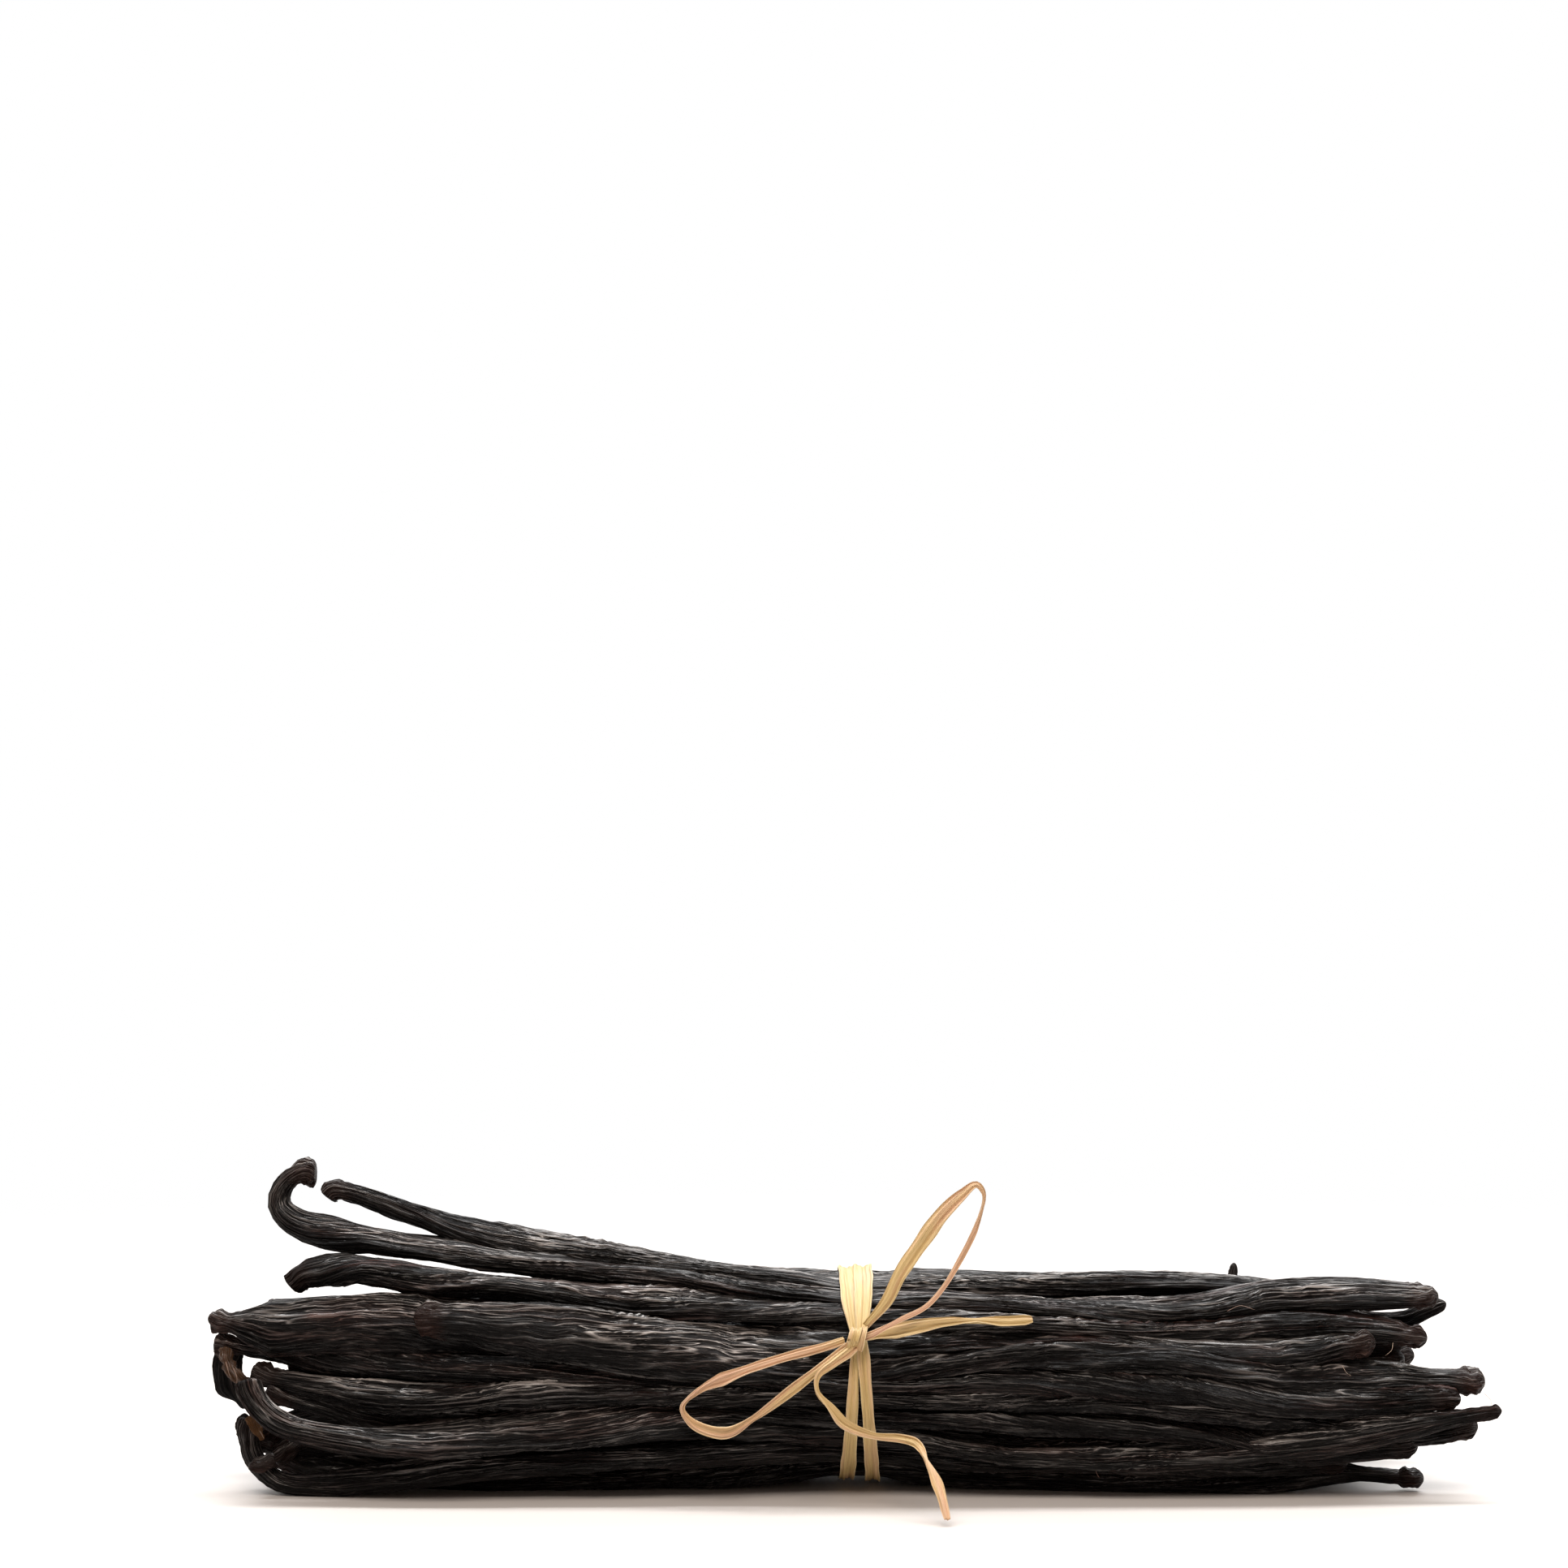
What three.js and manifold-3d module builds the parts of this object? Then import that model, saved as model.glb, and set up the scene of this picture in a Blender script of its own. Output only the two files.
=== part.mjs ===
// A bundle of cured vanilla pods, tied round the middle with a strip of raffia in a bow.
// Millimetres, +Z up, the floor at Z = 0. The stem ends point to -X, the blossom ends to +X,
// and the bow is on the -Y side.

import * as THREE from 'three';
import { mergeVertices } from 'three/addons/utils/BufferGeometryUtils.js';
import Module from 'manifold-3d';

// Pods: a knob at the stem end, a thin neck, a shoulder that widens to the body, and a tapered
// blossom end. These are a common pod's widths, and its thickness.
const POD = { knob: 3.4, neck: 2.6, body: 8, tip: 4.2, thickness: 3.9 };
const KNOB_LENGTH = 1.5;
const KNOB_TO_NECK = 3;
const NECK_LENGTH = 4;
const SHOULDER_LENGTH = 22;
const TIP_LENGTH = 1;
const TAPER_LENGTH = 18;
const KNOB_ROUNDING = 1.2;
const TIP_ROUNDING = 1.6;

// Rings of corners on a pod: always at these distances from its two ends, and between them at the
// spacing, or closer where it bends more than this
const RINGS_FROM_STEM = [0, 0.6, 2.4, 5];
const RINGS_FROM_BLOSSOM = [9, 3, 0.8, 0];
const RING_STEP = 1;
const LEAST_SPACING_SHARE = 1 / 3;
const MOST_BEND = THREE.MathUtils.degToRad(30);
const NEAR_MESH = { sides: 8, spacing: 28 };
const BACK_MESH = { sides: 6, spacing: 44 };

// The oval that the tie pulls the pods into, seen along the pods
const TIE_X = 1;
const OVAL_HALF_DEPTH = 19;
const OVAL_HALF_HEIGHT = 15;
const OVAL_MIDDLE = 16;

// A near pod's middle lies this far inside the oval, and it turns over this length from the tie
const NEAR_INSET = 3.76;
const TURNING_LENGTH = 60;

// The pods in the near side of the bundle, from top to bottom. Each has its own widths and
// thickness, its height in the tie, the places that its stem end passes on the way there, the
// places to its blossom end after it, and how far its flat side is turned towards the near side at
// the stem, the tie and the blossom end.
const NEAR_PODS = [
  {
    // Straight pod on top, its stem end high in the air
    form: { knob: 2.8, neck: 2.7, body: 6.6, tip: 1.8, thickness: 3 },
    stem: [[-77.8, 2, 41.4], [-76.5, 2, 42.6], [-65.5, 1, 39.5], [-56.5, 0, 36.8], [-39.5, -2, 34.1]],
    height: 29.4,
    blossom: [[45, -2, 29.3], [62, 1, 27.9], [71.5, 1, 25.7], [78.5, 0, 23.9], [88, -2, 26.3]],
    turn: [25, 0, 10],
  },
  {
    // Pod whose stem end curls up and back like a crook
    form: { knob: 4.2, neck: 3.2, body: 6.6, tip: 5, thickness: 3.2 },
    stem: [
      [-79, 4, 44.9], [-82.3, 4, 44.8], [-84.6, 4, 42.6], [-84.8, 3.5, 40.3], [-82.5, 2, 38.1],
      [-77.5, 0, 36.4], [-68.5, -2, 35.1], [-50.5, -4, 32.7], [-25, -6.5, 30.4],
    ],
    height: 27.8,
    blossom: [[24, -10, 26.8], [43, -9, 26.2], [52.5, -8, 26.6], [63.5, -7, 27.9], [85, -7, 28.2]],
    turn: [10, 0, 25],
  },
  {
    // Pod that arches up before its blunt stem end drops
    form: { knob: 5, neck: 5, body: 6.8, tip: 4.2, thickness: 3.3 },
    stem: [
      [-82.8, -4, 29], [-80.5, -4.5, 31], [-76.5, -5.5, 32], [-70, -7, 32.3], [-63.5, -8, 30.9],
      [-56, -8.5, 30.3], [-36, -9.5, 28.6], [-19, -11.5, 27],
    ],
    height: 25.6,
    blossom: [[24, -12, 25], [47, -11, 23.7], [65, -10, 24.7], [76, -9, 25.3], [84, -9, 22.6]],
    turn: [45, 0, 0],
  },
  {
    // Broad pod that goes behind the next one
    form: { knob: 3.8, neck: 2.5, body: 8.4, tip: 5.2, thickness: 3.8 },
    stem: [
      [-93.5, -8, 25], [-90, -9, 25.7], [-83.5, -11, 25.4], [-69, -11.5, 25.2], [-58, -10, 24.2],
      [-41, -9.5, 23],
    ],
    height: 22.4,
    blossom: [[24, -12, 23.6], [47, -12, 22], [64, -12, 21.5], [76, -12, 22.2]],
    turn: [75, 20, 20],
  },
  {
    // Broadest pod, whose blunt stem end lies on the last one
    form: { knob: 5.5, neck: 5.5, body: 8.4, tip: 5, thickness: 3.8 },
    stem: [[-63, -14, 26], [-59, -15.2, 25.8], [-41.5, -15.7, 23.9], [-24.5, -15.4, 21.3]],
    height: 19.6,
    blossom: [[22, -14.5, 21.6], [43, -14, 20.8], [62, -13, 18.2], [79, -12, 16.6], [90, -11, 15.9]],
    turn: [75, 45, 20],
  },
  {
    form: { knob: 3.8, neck: 2.4, body: 7.6, tip: 3.6, thickness: 3.8 },
    stem: [[-93, -8, 21.4], [-84, -9, 20.4], [-70.5, -10.5, 19.1], [-41, -12.5, 18]],
    height: 17.2,
    blossom: [[24, -15.4, 17.9], [47, -15.4, 16.6], [67, -15, 14.9], [88, -14, 14.3]],
    turn: [0, 10, 30],
  },
  {
    form: { knob: 3.2, neck: 2.8, body: 7.4, tip: 4.2, thickness: 3.6 },
    stem: [
      [-86.5, -10, 17.9], [-84, -11.5, 17], [-70, -13.5, 14.9], [-59.5, -14, 14.5], [-50, -14.5, 15.3],
      [-36, -14.8, 15.7],
    ],
    height: 14.9,
    blossom: [[47, -14.5, 13.6], [65, -13, 11.1], [79, -12, 9.2], [91, -11, 9.9]],
    turn: [20, 0, 0],
  },
  {
    form: { knob: 3, neck: 2.6, body: 7, tip: 4.2, thickness: 3.6 },
    stem: [[-85, -12, 15.4], [-82, -12, 14.2], [-76, -12, 13], [-66.5, -12, 11.9], [-50.5, -12, 11.9]],
    height: 12.4,
    blossom: [[47, -14, 10.1], [65, -13.5, 7.4], [82, -13, 7.5]],
    turn: [30, 10, 20],
  },
  {
    // Pod that bows forward at the stem end and ends furthest out at the blossom end
    form: { knob: 3, neck: 3, body: 7.4, tip: 1.6, thickness: 3.8 },
    stem: [
      [-87, -15, 17.6], [-86.5, -15.5, 15.9], [-84.5, -16.5, 13.1], [-81, -17.2, 10.9],
      [-74, -17.5, 9.2], [-66.5, -17.5, 8.7], [-59.5, -17.3, 9], [-47.5, -16.8, 10.4], [-28, -16, 11.3],
    ],
    height: 9.9,
    blossom: [[24, -13, 6.8], [47, -13.5, 6.3], [64, -14.5, 8.2], [78, -15.5, 10.3], [93.5, -16, 13]],
    turn: [40, 10, 40],
  },
  {
    // Pod on the floor whose stem end turns up
    form: { knob: 3.2, neck: 2.9, body: 7, tip: 2.8, thickness: 3.4 },
    stem: [
      [-87, -9, 11], [-87.5, -9.5, 8.5], [-86.5, -10.5, 5], [-83, -11.5, 2], [-78.5, -12, 1.5],
      [-70, -12.5, 2.5], [-59.5, -13, 3.8], [-46.5, -13.5, 5], [-29, -13.8, 6.1],
    ],
    height: 6.6,
    blossom: [[24, -11, 4.8], [47, -11.5, 4.6], [72, -11.5, 4.5]],
    turn: [0, 0, 0],
  },
  {
    // Lowest pod, pressed flat on the floor either side of the tie
    form: { knob: 3.4, neck: 2.4, body: 7, tip: 3.4, thickness: 3 },
    stem: [[-77, -3, 3.2], [-63, -5, 1.2], [-41, -6, 1.1], [-20, -6.2, 1.9]],
    height: 2.9,
    blossom: [[24, -6.2, 1.6], [45, -7.2, 1.1], [60, -8, 1.3], [70, -8.5, 2.6], [83.5, -9, 1.5]],
    turn: [0, 0, 0],
  },
];

// The pods behind them lie in rows across the oval, and fan out from the tie a little
const ROW_HEIGHT = 3.6;
const FIRST_ROW = 3;
const ROWS = 8;
const ROW_SPACING = 8;
const NEAR_DEPTH = 7.5;
const STEM_REACH = [70, 84];
const BLOSSOM_REACH = [60, 76];
// Towards a certain height in the bundle they reach further out at each end
const STEM_FURTHER = 9;
const BLOSSOM_FURTHER = 12;
const FURTHEST_STEM_HEIGHT = 21;
const FURTHEST_BLOSSOM_HEIGHT = 15;
const FURTHER_SPREAD = 7;
// Half way along, and at each end, they lie this many times as far from the middle plane as in
// the tie
const MIDWAY = 35;
const STEM_MIDWAY_FAN = 1.08;
const STEM_FAN = 1.25;
const BLOSSOM_MIDWAY_FAN = 1.04;
const BLOSSOM_FAN = 1.12;
const WANDER = 0.5;
const SCATTER = 2.2;
const HIGHEST_END = 25;
const HOOK_LENGTH = 7;
const HOOK_DROP = 3.5;
const SAG = 1.5;
const BACK_TURN = THREE.MathUtils.degToRad(20);

// A scattered number is what follows the decimal point of a tall, fast wave
const POD_STRIDE = 12.9898;
const DRAW_STRIDE = 78.233;
const WAVE_HEIGHT = 43758.5453;

// The spindle between the pods, by its places along X and its share of the oval at each
const CORE_SIDES = 12;
const CORE_SHARES = [
  [-72, 0], [-66, 0.5], [-48, 0.78], [-25, 0.86], [TIE_X, 0.9], [30, 0.86], [48, 0.78], [62, 0.55],
  [69, 0],
];
const CORE_DROP = 1;

// Height of the middle of a pod that lies on the floor, which presses it flat there
const LYING = 1.5;

// Raffia
const WRAP_WIDTH = 2.1;
const WRAP_THICKNESS = 0.5;
const WRAP_LEAN = 0.9;
const STRIP_WIDTH = 1.7;
const STRIP_THICKNESS = 0.6;
const GAP = 0.3;
const OVAL_SEGMENTS = 18;
const STRIP_SIDES = 8;
const KNOT = new THREE.Vector3(TIE_X, -19.3, 23.8);
const KNOT_HALF_SIZE = new THREE.Vector3(1.5, 1.6, 1.4);
const KNOT_SIDES = 10;
const KNOT_BANDS = 6;

const LOOP_UPPER = [
  [2, -19.3, 25.6], [5, -19.2, 29.1], [7, -18.4, 32.9], [10, -17, 37.1], [13, -15.5, 41],
  [16, -14.5, 43.8], [18.1, -14, 45.2], [19.2, -13.8, 43.7], [18, -14.4, 39.1], [15.5, -15.8, 34.3],
  [13, -17.6, 30.6], [10.5, -19, 28.2], [7, -20, 26.6], [4.2, -20.3, 25.2], [2.8, -20.3, 24.5],
];
const TAIL_RIGHT = [
  [3.2, -18.4, 24.1], [7, -18.5, 24.9], [13, -18.5, 26], [18, -18, 26.2], [22, -17.5, 26],
  [26, -17, 26.2],
];
const LOOP_LOWER = [
  [-1, -18.5, 23.4], [-4, -19.6, 22.6], [-10, -20.8, 21.2], [-17, -21.5, 18.9], [-22, -21, 16.5],
  [-24.2, -20.5, 14.1], [-22.6, -20.5, 11.8], [-18, -21, 10.6], [-14, -21.5, 12.8], [-8, -21.4, 17.2],
  [-4, -20.6, 20.2], [-0.8, -19.5, 22.5],
];
const TAIL_LOWER = [
  [-0.2, -20.6, 22.3], [-2.4, -21.9, 20.9], [-4.9, -23, 19], [-5, -23.4, 17], [-3, -23, 14.4],
  [-1, -22.6, 12.1], [3, -22.6, 10.5], [7, -23.2, 10.2], [9, -24.6, 9.8], [10.4, -27.5, 8],
  [12, -31.4, 4.6], [13, -34.6, 1],
];

// Further from the middle than anything in the bundle reaches, for what is cut away round it
const BEYOND = 150;

// Corners closer together than this are one
const SAME_PLACE = 1e-4;

const wasm = await Module();
wasm.setup();

// Solids

function solidOf(geometry) {
  const bare = geometry.clone();
  bare.deleteAttribute('normal');
  bare.deleteAttribute('uv');
  const merged = mergeVertices(bare, SAME_PLACE);
  const index = merged.index.array;
  const triangles = [];
  for (let i = 0; i < index.length; i += 3) {
    const [a, b, c] = [index[i], index[i + 1], index[i + 2]];
    if (a !== b && b !== c && c !== a) {
      triangles.push(a, b, c);
    }
  }
  return new wasm.Manifold(new wasm.Mesh({
    numProp: 3,
    vertProperties: new Float32Array(merged.attributes.position.array),
    triVerts: new Uint32Array(triangles),
  }));
}

function geometryOf(solid) {
  const { vertProperties, triVerts, numProp } = solid.getMesh();
  const geometry = new THREE.BufferGeometry();
  const corners = new Float32Array(vertProperties);
  geometry.setAttribute('position', new THREE.BufferAttribute(corners, numProp));
  geometry.setIndex(new THREE.BufferAttribute(new Uint32Array(triVerts), 1));
  geometry.computeVertexNormals();
  return geometry;
}

function largestOf(solid) {
  const pieces = solid.decompose();
  return pieces.reduce((best, piece) => (piece.volume() > best.volume() ? piece : best));
}

// One pod

const smooth = (t) => THREE.MathUtils.smoothstep(t, 0, 1);

// The pod's width at a distance from its stem end: knob, neck, body and rounded blossom end
function podWidth(form, fromStem, fromBlossom) {
  const { lerp } = THREE.MathUtils;
  const knob = lerp(form.knob, form.neck, smooth((fromStem - KNOB_LENGTH) / KNOB_TO_NECK));
  const body = lerp(knob, form.body, smooth((fromStem - NECK_LENGTH) / SHOULDER_LENGTH));
  const tip = lerp(form.tip, form.body, smooth((fromBlossom - TIP_LENGTH) / TAPER_LENGTH));
  const rounding = Math.min(1, fromStem / KNOB_ROUNDING, fromBlossom / TIP_ROUNDING);
  return Math.min(body, tip) * Math.sqrt(rounding);
}

// Distances along a pod at which it has a ring of corners, close together where it narrows or bends
function ringPlaces(path, length, spacing) {
  const places = [...RINGS_FROM_STEM];
  const endRings = RINGS_FROM_BLOSSOM.map((distance) => length - distance);
  const lastBody = endRings[0];
  let last = path.getTangentAt(places.at(-1) / length);
  for (let place = places.at(-1) + RING_STEP; place < lastBody; place += RING_STEP) {
    const tangent = path.getTangentAt(place / length);
    const far = place - places.at(-1) > spacing;
    if (far || tangent.angleTo(last) > MOST_BEND) {
      places.push(place);
      last = tangent;
    }
  }
  if (lastBody - places.at(-1) < spacing * LEAST_SPACING_SHARE) {
    places.pop();
  }
  return [...places, ...endRings];
}

function pathThrough(points) {
  const places = points.map((point) => new THREE.Vector3(...point));
  return new THREE.CatmullRomCurve3(places, false, 'centripetal');
}

// A straight turned pod is flattened and then bent along its path
function podGeometry({ form, points, sides, spacing, turnAt }) {
  const path = pathThrough(points);
  const length = path.getLength();
  const profile = ringPlaces(path, length, spacing).map((place) => {
    const atEnd = place === 0 || place === length;
    return new THREE.Vector2(atEnd ? 0 : podWidth(form, place, length - place) / 2, place);
  });
  const geometry = new THREE.LatheGeometry(profile, sides);
  const position = geometry.attributes.position;
  const corner = new THREE.Vector3();
  for (let i = 0; i < position.count; i += 1) {
    corner.fromBufferAttribute(position, i);
    const along = THREE.MathUtils.clamp(corner.y / length, 0, 1);
    const centre = path.getPointAt(along);
    const tangent = path.getTangentAt(along);
    const halfWidth = Math.hypot(corner.x, corner.z);
    const flattened = corner.z * Math.min(1, form.thickness / 2 / Math.max(halfWidth, SAME_PLACE));
    const side = new THREE.Vector3(0, 1, 0);
    side.addScaledVector(tangent, -side.dot(tangent)).normalize();
    const down = new THREE.Vector3().crossVectors(side, tangent);
    const turn = turnAt(centre.x);
    centre.addScaledVector(side, corner.x * Math.cos(turn) - flattened * Math.sin(turn));
    centre.addScaledVector(down, corner.x * Math.sin(turn) + flattened * Math.cos(turn));
    position.setXYZ(i, centre.x, centre.y, centre.z);
  }
  return geometry;
}

// How far the tie lets pods reach from the middle plane at a height
function ovalHalfDepth(height) {
  const share = (height - OVAL_MIDDLE) / OVAL_HALF_HEIGHT;
  return OVAL_HALF_DEPTH * Math.sqrt(Math.max(0, 1 - share ** 2));
}

function nearPod({ form, stem, height, blossom, turn }) {
  const inTie = [TIE_X, -ovalHalfDepth(height) + NEAR_INSET, height];
  const [atStem, atTie, atBlossom] = turn.map((degrees) => -THREE.MathUtils.degToRad(degrees));
  const turnAt = (x) => THREE.MathUtils.lerp(
    atTie,
    x < TIE_X ? atStem : atBlossom,
    smooth(Math.abs(x - TIE_X) / TURNING_LENGTH),
  );
  return podGeometry({ form, points: [...stem, inTie, ...blossom], ...NEAR_MESH, turnAt });
}

// A pod's own run of numbers between -1 and 1, the same each time
function drawsOf(pod) {
  let draws = 0;
  return () => {
    draws += 1;
    const wave = Math.sin(pod * POD_STRIDE + draws * DRAW_STRIDE) * WAVE_HEIGHT;
    return 2 * (wave - Math.floor(wave)) - 1;
  };
}

// The order of its draws settles a pod's shape
function backPod(pod, y, z) {
  const draw = drawsOf(pod);
  const between = ([low, high]) => THREE.MathUtils.lerp(low, high, (draw() + 1) / 2);
  const nearness = (height) => Math.exp(-(((z - height) / FURTHER_SPREAD) ** 2));
  const reachStem = between(STEM_REACH) + STEM_FURTHER * nearness(FURTHEST_STEM_HEIGHT);
  const reachBlossom = between(BLOSSOM_REACH) + BLOSSOM_FURTHER * nearness(FURTHEST_BLOSSOM_HEIGHT);
  const endAt = (x, fan) => [
    x,
    y * fan + SCATTER * draw(),
    THREE.MathUtils.clamp(z * Math.sqrt(fan) + SCATTER * draw(), LYING, HIGHEST_END),
  ];
  const stemEnd = endAt(-reachStem + HOOK_LENGTH, STEM_FAN);
  const hook = [
    -reachStem,
    stemEnd[1] + draw(),
    Math.max(LYING, stemEnd[2] + HOOK_DROP * draw()),
  ];
  const low = Math.max(LYING, z - SAG);
  const points = [
    hook,
    stemEnd,
    [-MIDWAY, y * STEM_MIDWAY_FAN + WANDER * draw(), low],
    [TIE_X, y, z],
    [MIDWAY, y * BLOSSOM_MIDWAY_FAN + WANDER * draw(), low],
    endAt(reachBlossom, BLOSSOM_FAN),
  ];
  const turn = BACK_TURN * draw();
  return podGeometry({ form: POD, points, ...BACK_MESH, turnAt: () => turn });
}

function backPods() {
  const pods = [];
  for (let row = 0; row < ROWS; row += 1) {
    const height = FIRST_ROW + row * ROW_HEIGHT;
    const far = ovalHalfDepth(height) - POD.body / 2;
    const near = -ovalHalfDepth(height) + NEAR_DEPTH + POD.body / 2;
    const count = Math.max(1, Math.round((far - near) / ROW_SPACING) + 1);
    for (let i = 0; i < count; i += 1) {
      const y = count === 1 ? far : THREE.MathUtils.lerp(near, far, i / (count - 1));
      pods.push(backPod(pods.length + 1, y, height));
    }
  }
  return pods;
}

// What fills the bundle between the pods, a spindle along X
function coreGeometry() {
  const profile = CORE_SHARES.map(([x, share]) => new THREE.Vector2(share, x));
  const geometry = new THREE.LatheGeometry(profile, CORE_SIDES);
  geometry.rotateZ(-Math.PI / 2);
  geometry.scale(1, OVAL_HALF_DEPTH, OVAL_HALF_HEIGHT);
  geometry.translate(0, 0, OVAL_MIDDLE - CORE_DROP);
  return geometry;
}

// Raffia

function ovalPath(shape, grow) {
  const halfDepth = OVAL_HALF_DEPTH + grow;
  const halfHeight = OVAL_HALF_HEIGHT + grow;
  shape.absellipse(0, OVAL_MIDDLE, halfDepth, halfHeight, 0, 2 * Math.PI, false, 0);
  return shape;
}

// A shape drawn in (Y, Z) is extruded along X from its middle
function acrossPods(shape, width) {
  const settings = { depth: width, bevelEnabled: false, curveSegments: OVAL_SEGMENTS };
  const geometry = new THREE.ExtrudeGeometry(shape, settings);
  geometry.translate(0, 0, -width / 2);
  return geometry.applyMatrix4(new THREE.Matrix4().set(
    0, 0, 1, 0,
    1, 0, 0, 0,
    0, 1, 0, 0,
    0, 0, 0, 1,
  ));
}

// A turn of raffia round the oval: side -1 towards the stem ends, 1 towards the blossom ends. The
// two are closest at the top and lean apart below.
function wrapGeometry(side) {
  const ring = ovalPath(new THREE.Shape(), GAP + WRAP_THICKNESS);
  ring.holes.push(ovalPath(new THREE.Path(), GAP));
  const geometry = acrossPods(ring, WRAP_WIDTH);
  const lean = (-side * WRAP_LEAN) / (2 * OVAL_HALF_HEIGHT);
  const shear = new THREE.Matrix4().makeShear(0, 0, 0, 0, lean, 0);
  const top = OVAL_MIDDLE + OVAL_HALF_HEIGHT;
  geometry.translate(0, 0, -top).applyMatrix4(shear).translate(0, 0, top);
  return geometry.translate(TIE_X + (side * (WRAP_WIDTH + GAP)) / 2, 0, 0);
}

// What is outside the oval where the raffia goes round, cut away to leave its groove
function grooveGeometry() {
  const outside = new THREE.Shape();
  outside.moveTo(-BEYOND, -BEYOND);
  outside.lineTo(BEYOND, -BEYOND);
  outside.lineTo(BEYOND, BEYOND);
  outside.lineTo(-BEYOND, BEYOND);
  outside.holes.push(ovalPath(new THREE.Path(), 0));
  const width = 2 * (WRAP_WIDTH + WRAP_LEAN + GAP) + GAP;
  return acrossPods(outside, width).translate(TIE_X, 0, 0);
}

// A flat strip along a path, its broad side to the near side
function stripGeometry(points) {
  const path = pathThrough(points);
  const section = new THREE.Shape();
  section.absellipse(0, 0, STRIP_THICKNESS / 2, STRIP_WIDTH / 2, 0, 2 * Math.PI, false, 0);
  const steps = Math.round(path.getLength() / (2 * STRIP_WIDTH));
  const outline = new THREE.Shape(section.getPoints(STRIP_SIDES).slice(0, STRIP_SIDES));
  return new THREE.ExtrudeGeometry(outline, { steps, bevelEnabled: false, extrudePath: path });
}

function knotGeometry() {
  const geometry = new THREE.SphereGeometry(1, KNOT_SIDES, KNOT_BANDS);
  geometry.scale(KNOT_HALF_SIZE.x, KNOT_HALF_SIZE.y, KNOT_HALF_SIZE.z);
  return geometry.translate(KNOT.x, KNOT.y, KNOT.z);
}

// The bundle is every pod and the core in one, flat where it lies on the floor
function bundleGeometry() {
  const pods = [...NEAR_PODS.map(nearPod), ...backPods()];
  const floor = new THREE.BoxGeometry(2 * BEYOND, 2 * BEYOND, BEYOND).translate(0, 0, -BEYOND / 2);
  const joined = [coreGeometry(), ...pods].map(solidOf).reduce((all, solid) => all.add(solid));
  const cut = joined.subtract(solidOf(grooveGeometry())).subtract(solidOf(floor));
  return geometryOf(largestOf(cut));
}

const podMaterial = new THREE.MeshStandardMaterial({ color: 0x2a1d18, roughness: 0.45, metalness: 0 });
const raffiaMaterial = new THREE.MeshStandardMaterial({ color: 0xe8d3a4, roughness: 0.6, metalness: 0 });

function named(name, geometry, material) {
  const mesh = new THREE.Mesh(geometry, material.clone());
  mesh.name = name;
  return mesh;
}

const model = new THREE.Group();
model.add(
  named('pod_bundle', bundleGeometry(), podMaterial),
  named('raffia_wrap_left', wrapGeometry(-1), raffiaMaterial),
  named('raffia_wrap_right', wrapGeometry(1), raffiaMaterial),
  named('raffia_knot', knotGeometry(), raffiaMaterial),
  named('raffia_loop_upper', stripGeometry(LOOP_UPPER), raffiaMaterial),
  named('raffia_tail_right', stripGeometry(TAIL_RIGHT), raffiaMaterial),
  named('raffia_loop_lower', stripGeometry(LOOP_LOWER), raffiaMaterial),
  named('raffia_tail_lower', stripGeometry(TAIL_LOWER), raffiaMaterial),
);

export default model;
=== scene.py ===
"""A bundle of cured vanilla pods, tied round the middle with raffia in a bow, on a pale floor."""

import math

import bpy
import numpy as np
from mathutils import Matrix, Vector


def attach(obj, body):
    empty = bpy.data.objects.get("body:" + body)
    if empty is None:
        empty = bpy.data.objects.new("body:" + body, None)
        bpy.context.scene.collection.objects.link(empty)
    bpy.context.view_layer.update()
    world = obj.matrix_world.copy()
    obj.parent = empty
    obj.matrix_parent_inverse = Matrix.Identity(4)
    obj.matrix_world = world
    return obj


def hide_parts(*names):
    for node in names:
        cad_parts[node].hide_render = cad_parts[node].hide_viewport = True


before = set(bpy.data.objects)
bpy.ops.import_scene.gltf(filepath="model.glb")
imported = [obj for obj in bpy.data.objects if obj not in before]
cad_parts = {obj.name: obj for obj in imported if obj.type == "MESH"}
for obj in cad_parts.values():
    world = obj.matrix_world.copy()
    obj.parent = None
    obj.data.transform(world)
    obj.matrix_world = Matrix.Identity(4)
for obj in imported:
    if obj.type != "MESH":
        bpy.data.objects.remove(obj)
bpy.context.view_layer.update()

# ---------------------------------------------------------------- Camera
# A long lens a little above the bundle looks level across it, so that the pods fill the lower
# part of a square picture.

MM = 0.001
lens = bpy.data.cameras.new("camera")
lens.lens = 85
lens.sensor_width = 36


def placed(name, data):
    """An object of this mesh, lamp or camera, put into the scene."""
    made = bpy.data.objects.new(name, data)
    bpy.context.scene.collection.objects.link(made)
    return made


camera = placed("camera", lens)
camera.location = (-9.65 * MM, -548 * MM, 103 * MM)
camera.rotation_euler = (math.pi / 2, 0, 0)
bpy.context.scene.camera = camera

# ---------------------------------------------------------------- Loose raffia
# Two dry strips of palm leaf come out of the knot. Each makes a loop of the bow, goes back through
# the knot and ends in a cut tail. The leaf is stiff, pleated along its length and folded in places.

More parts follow.
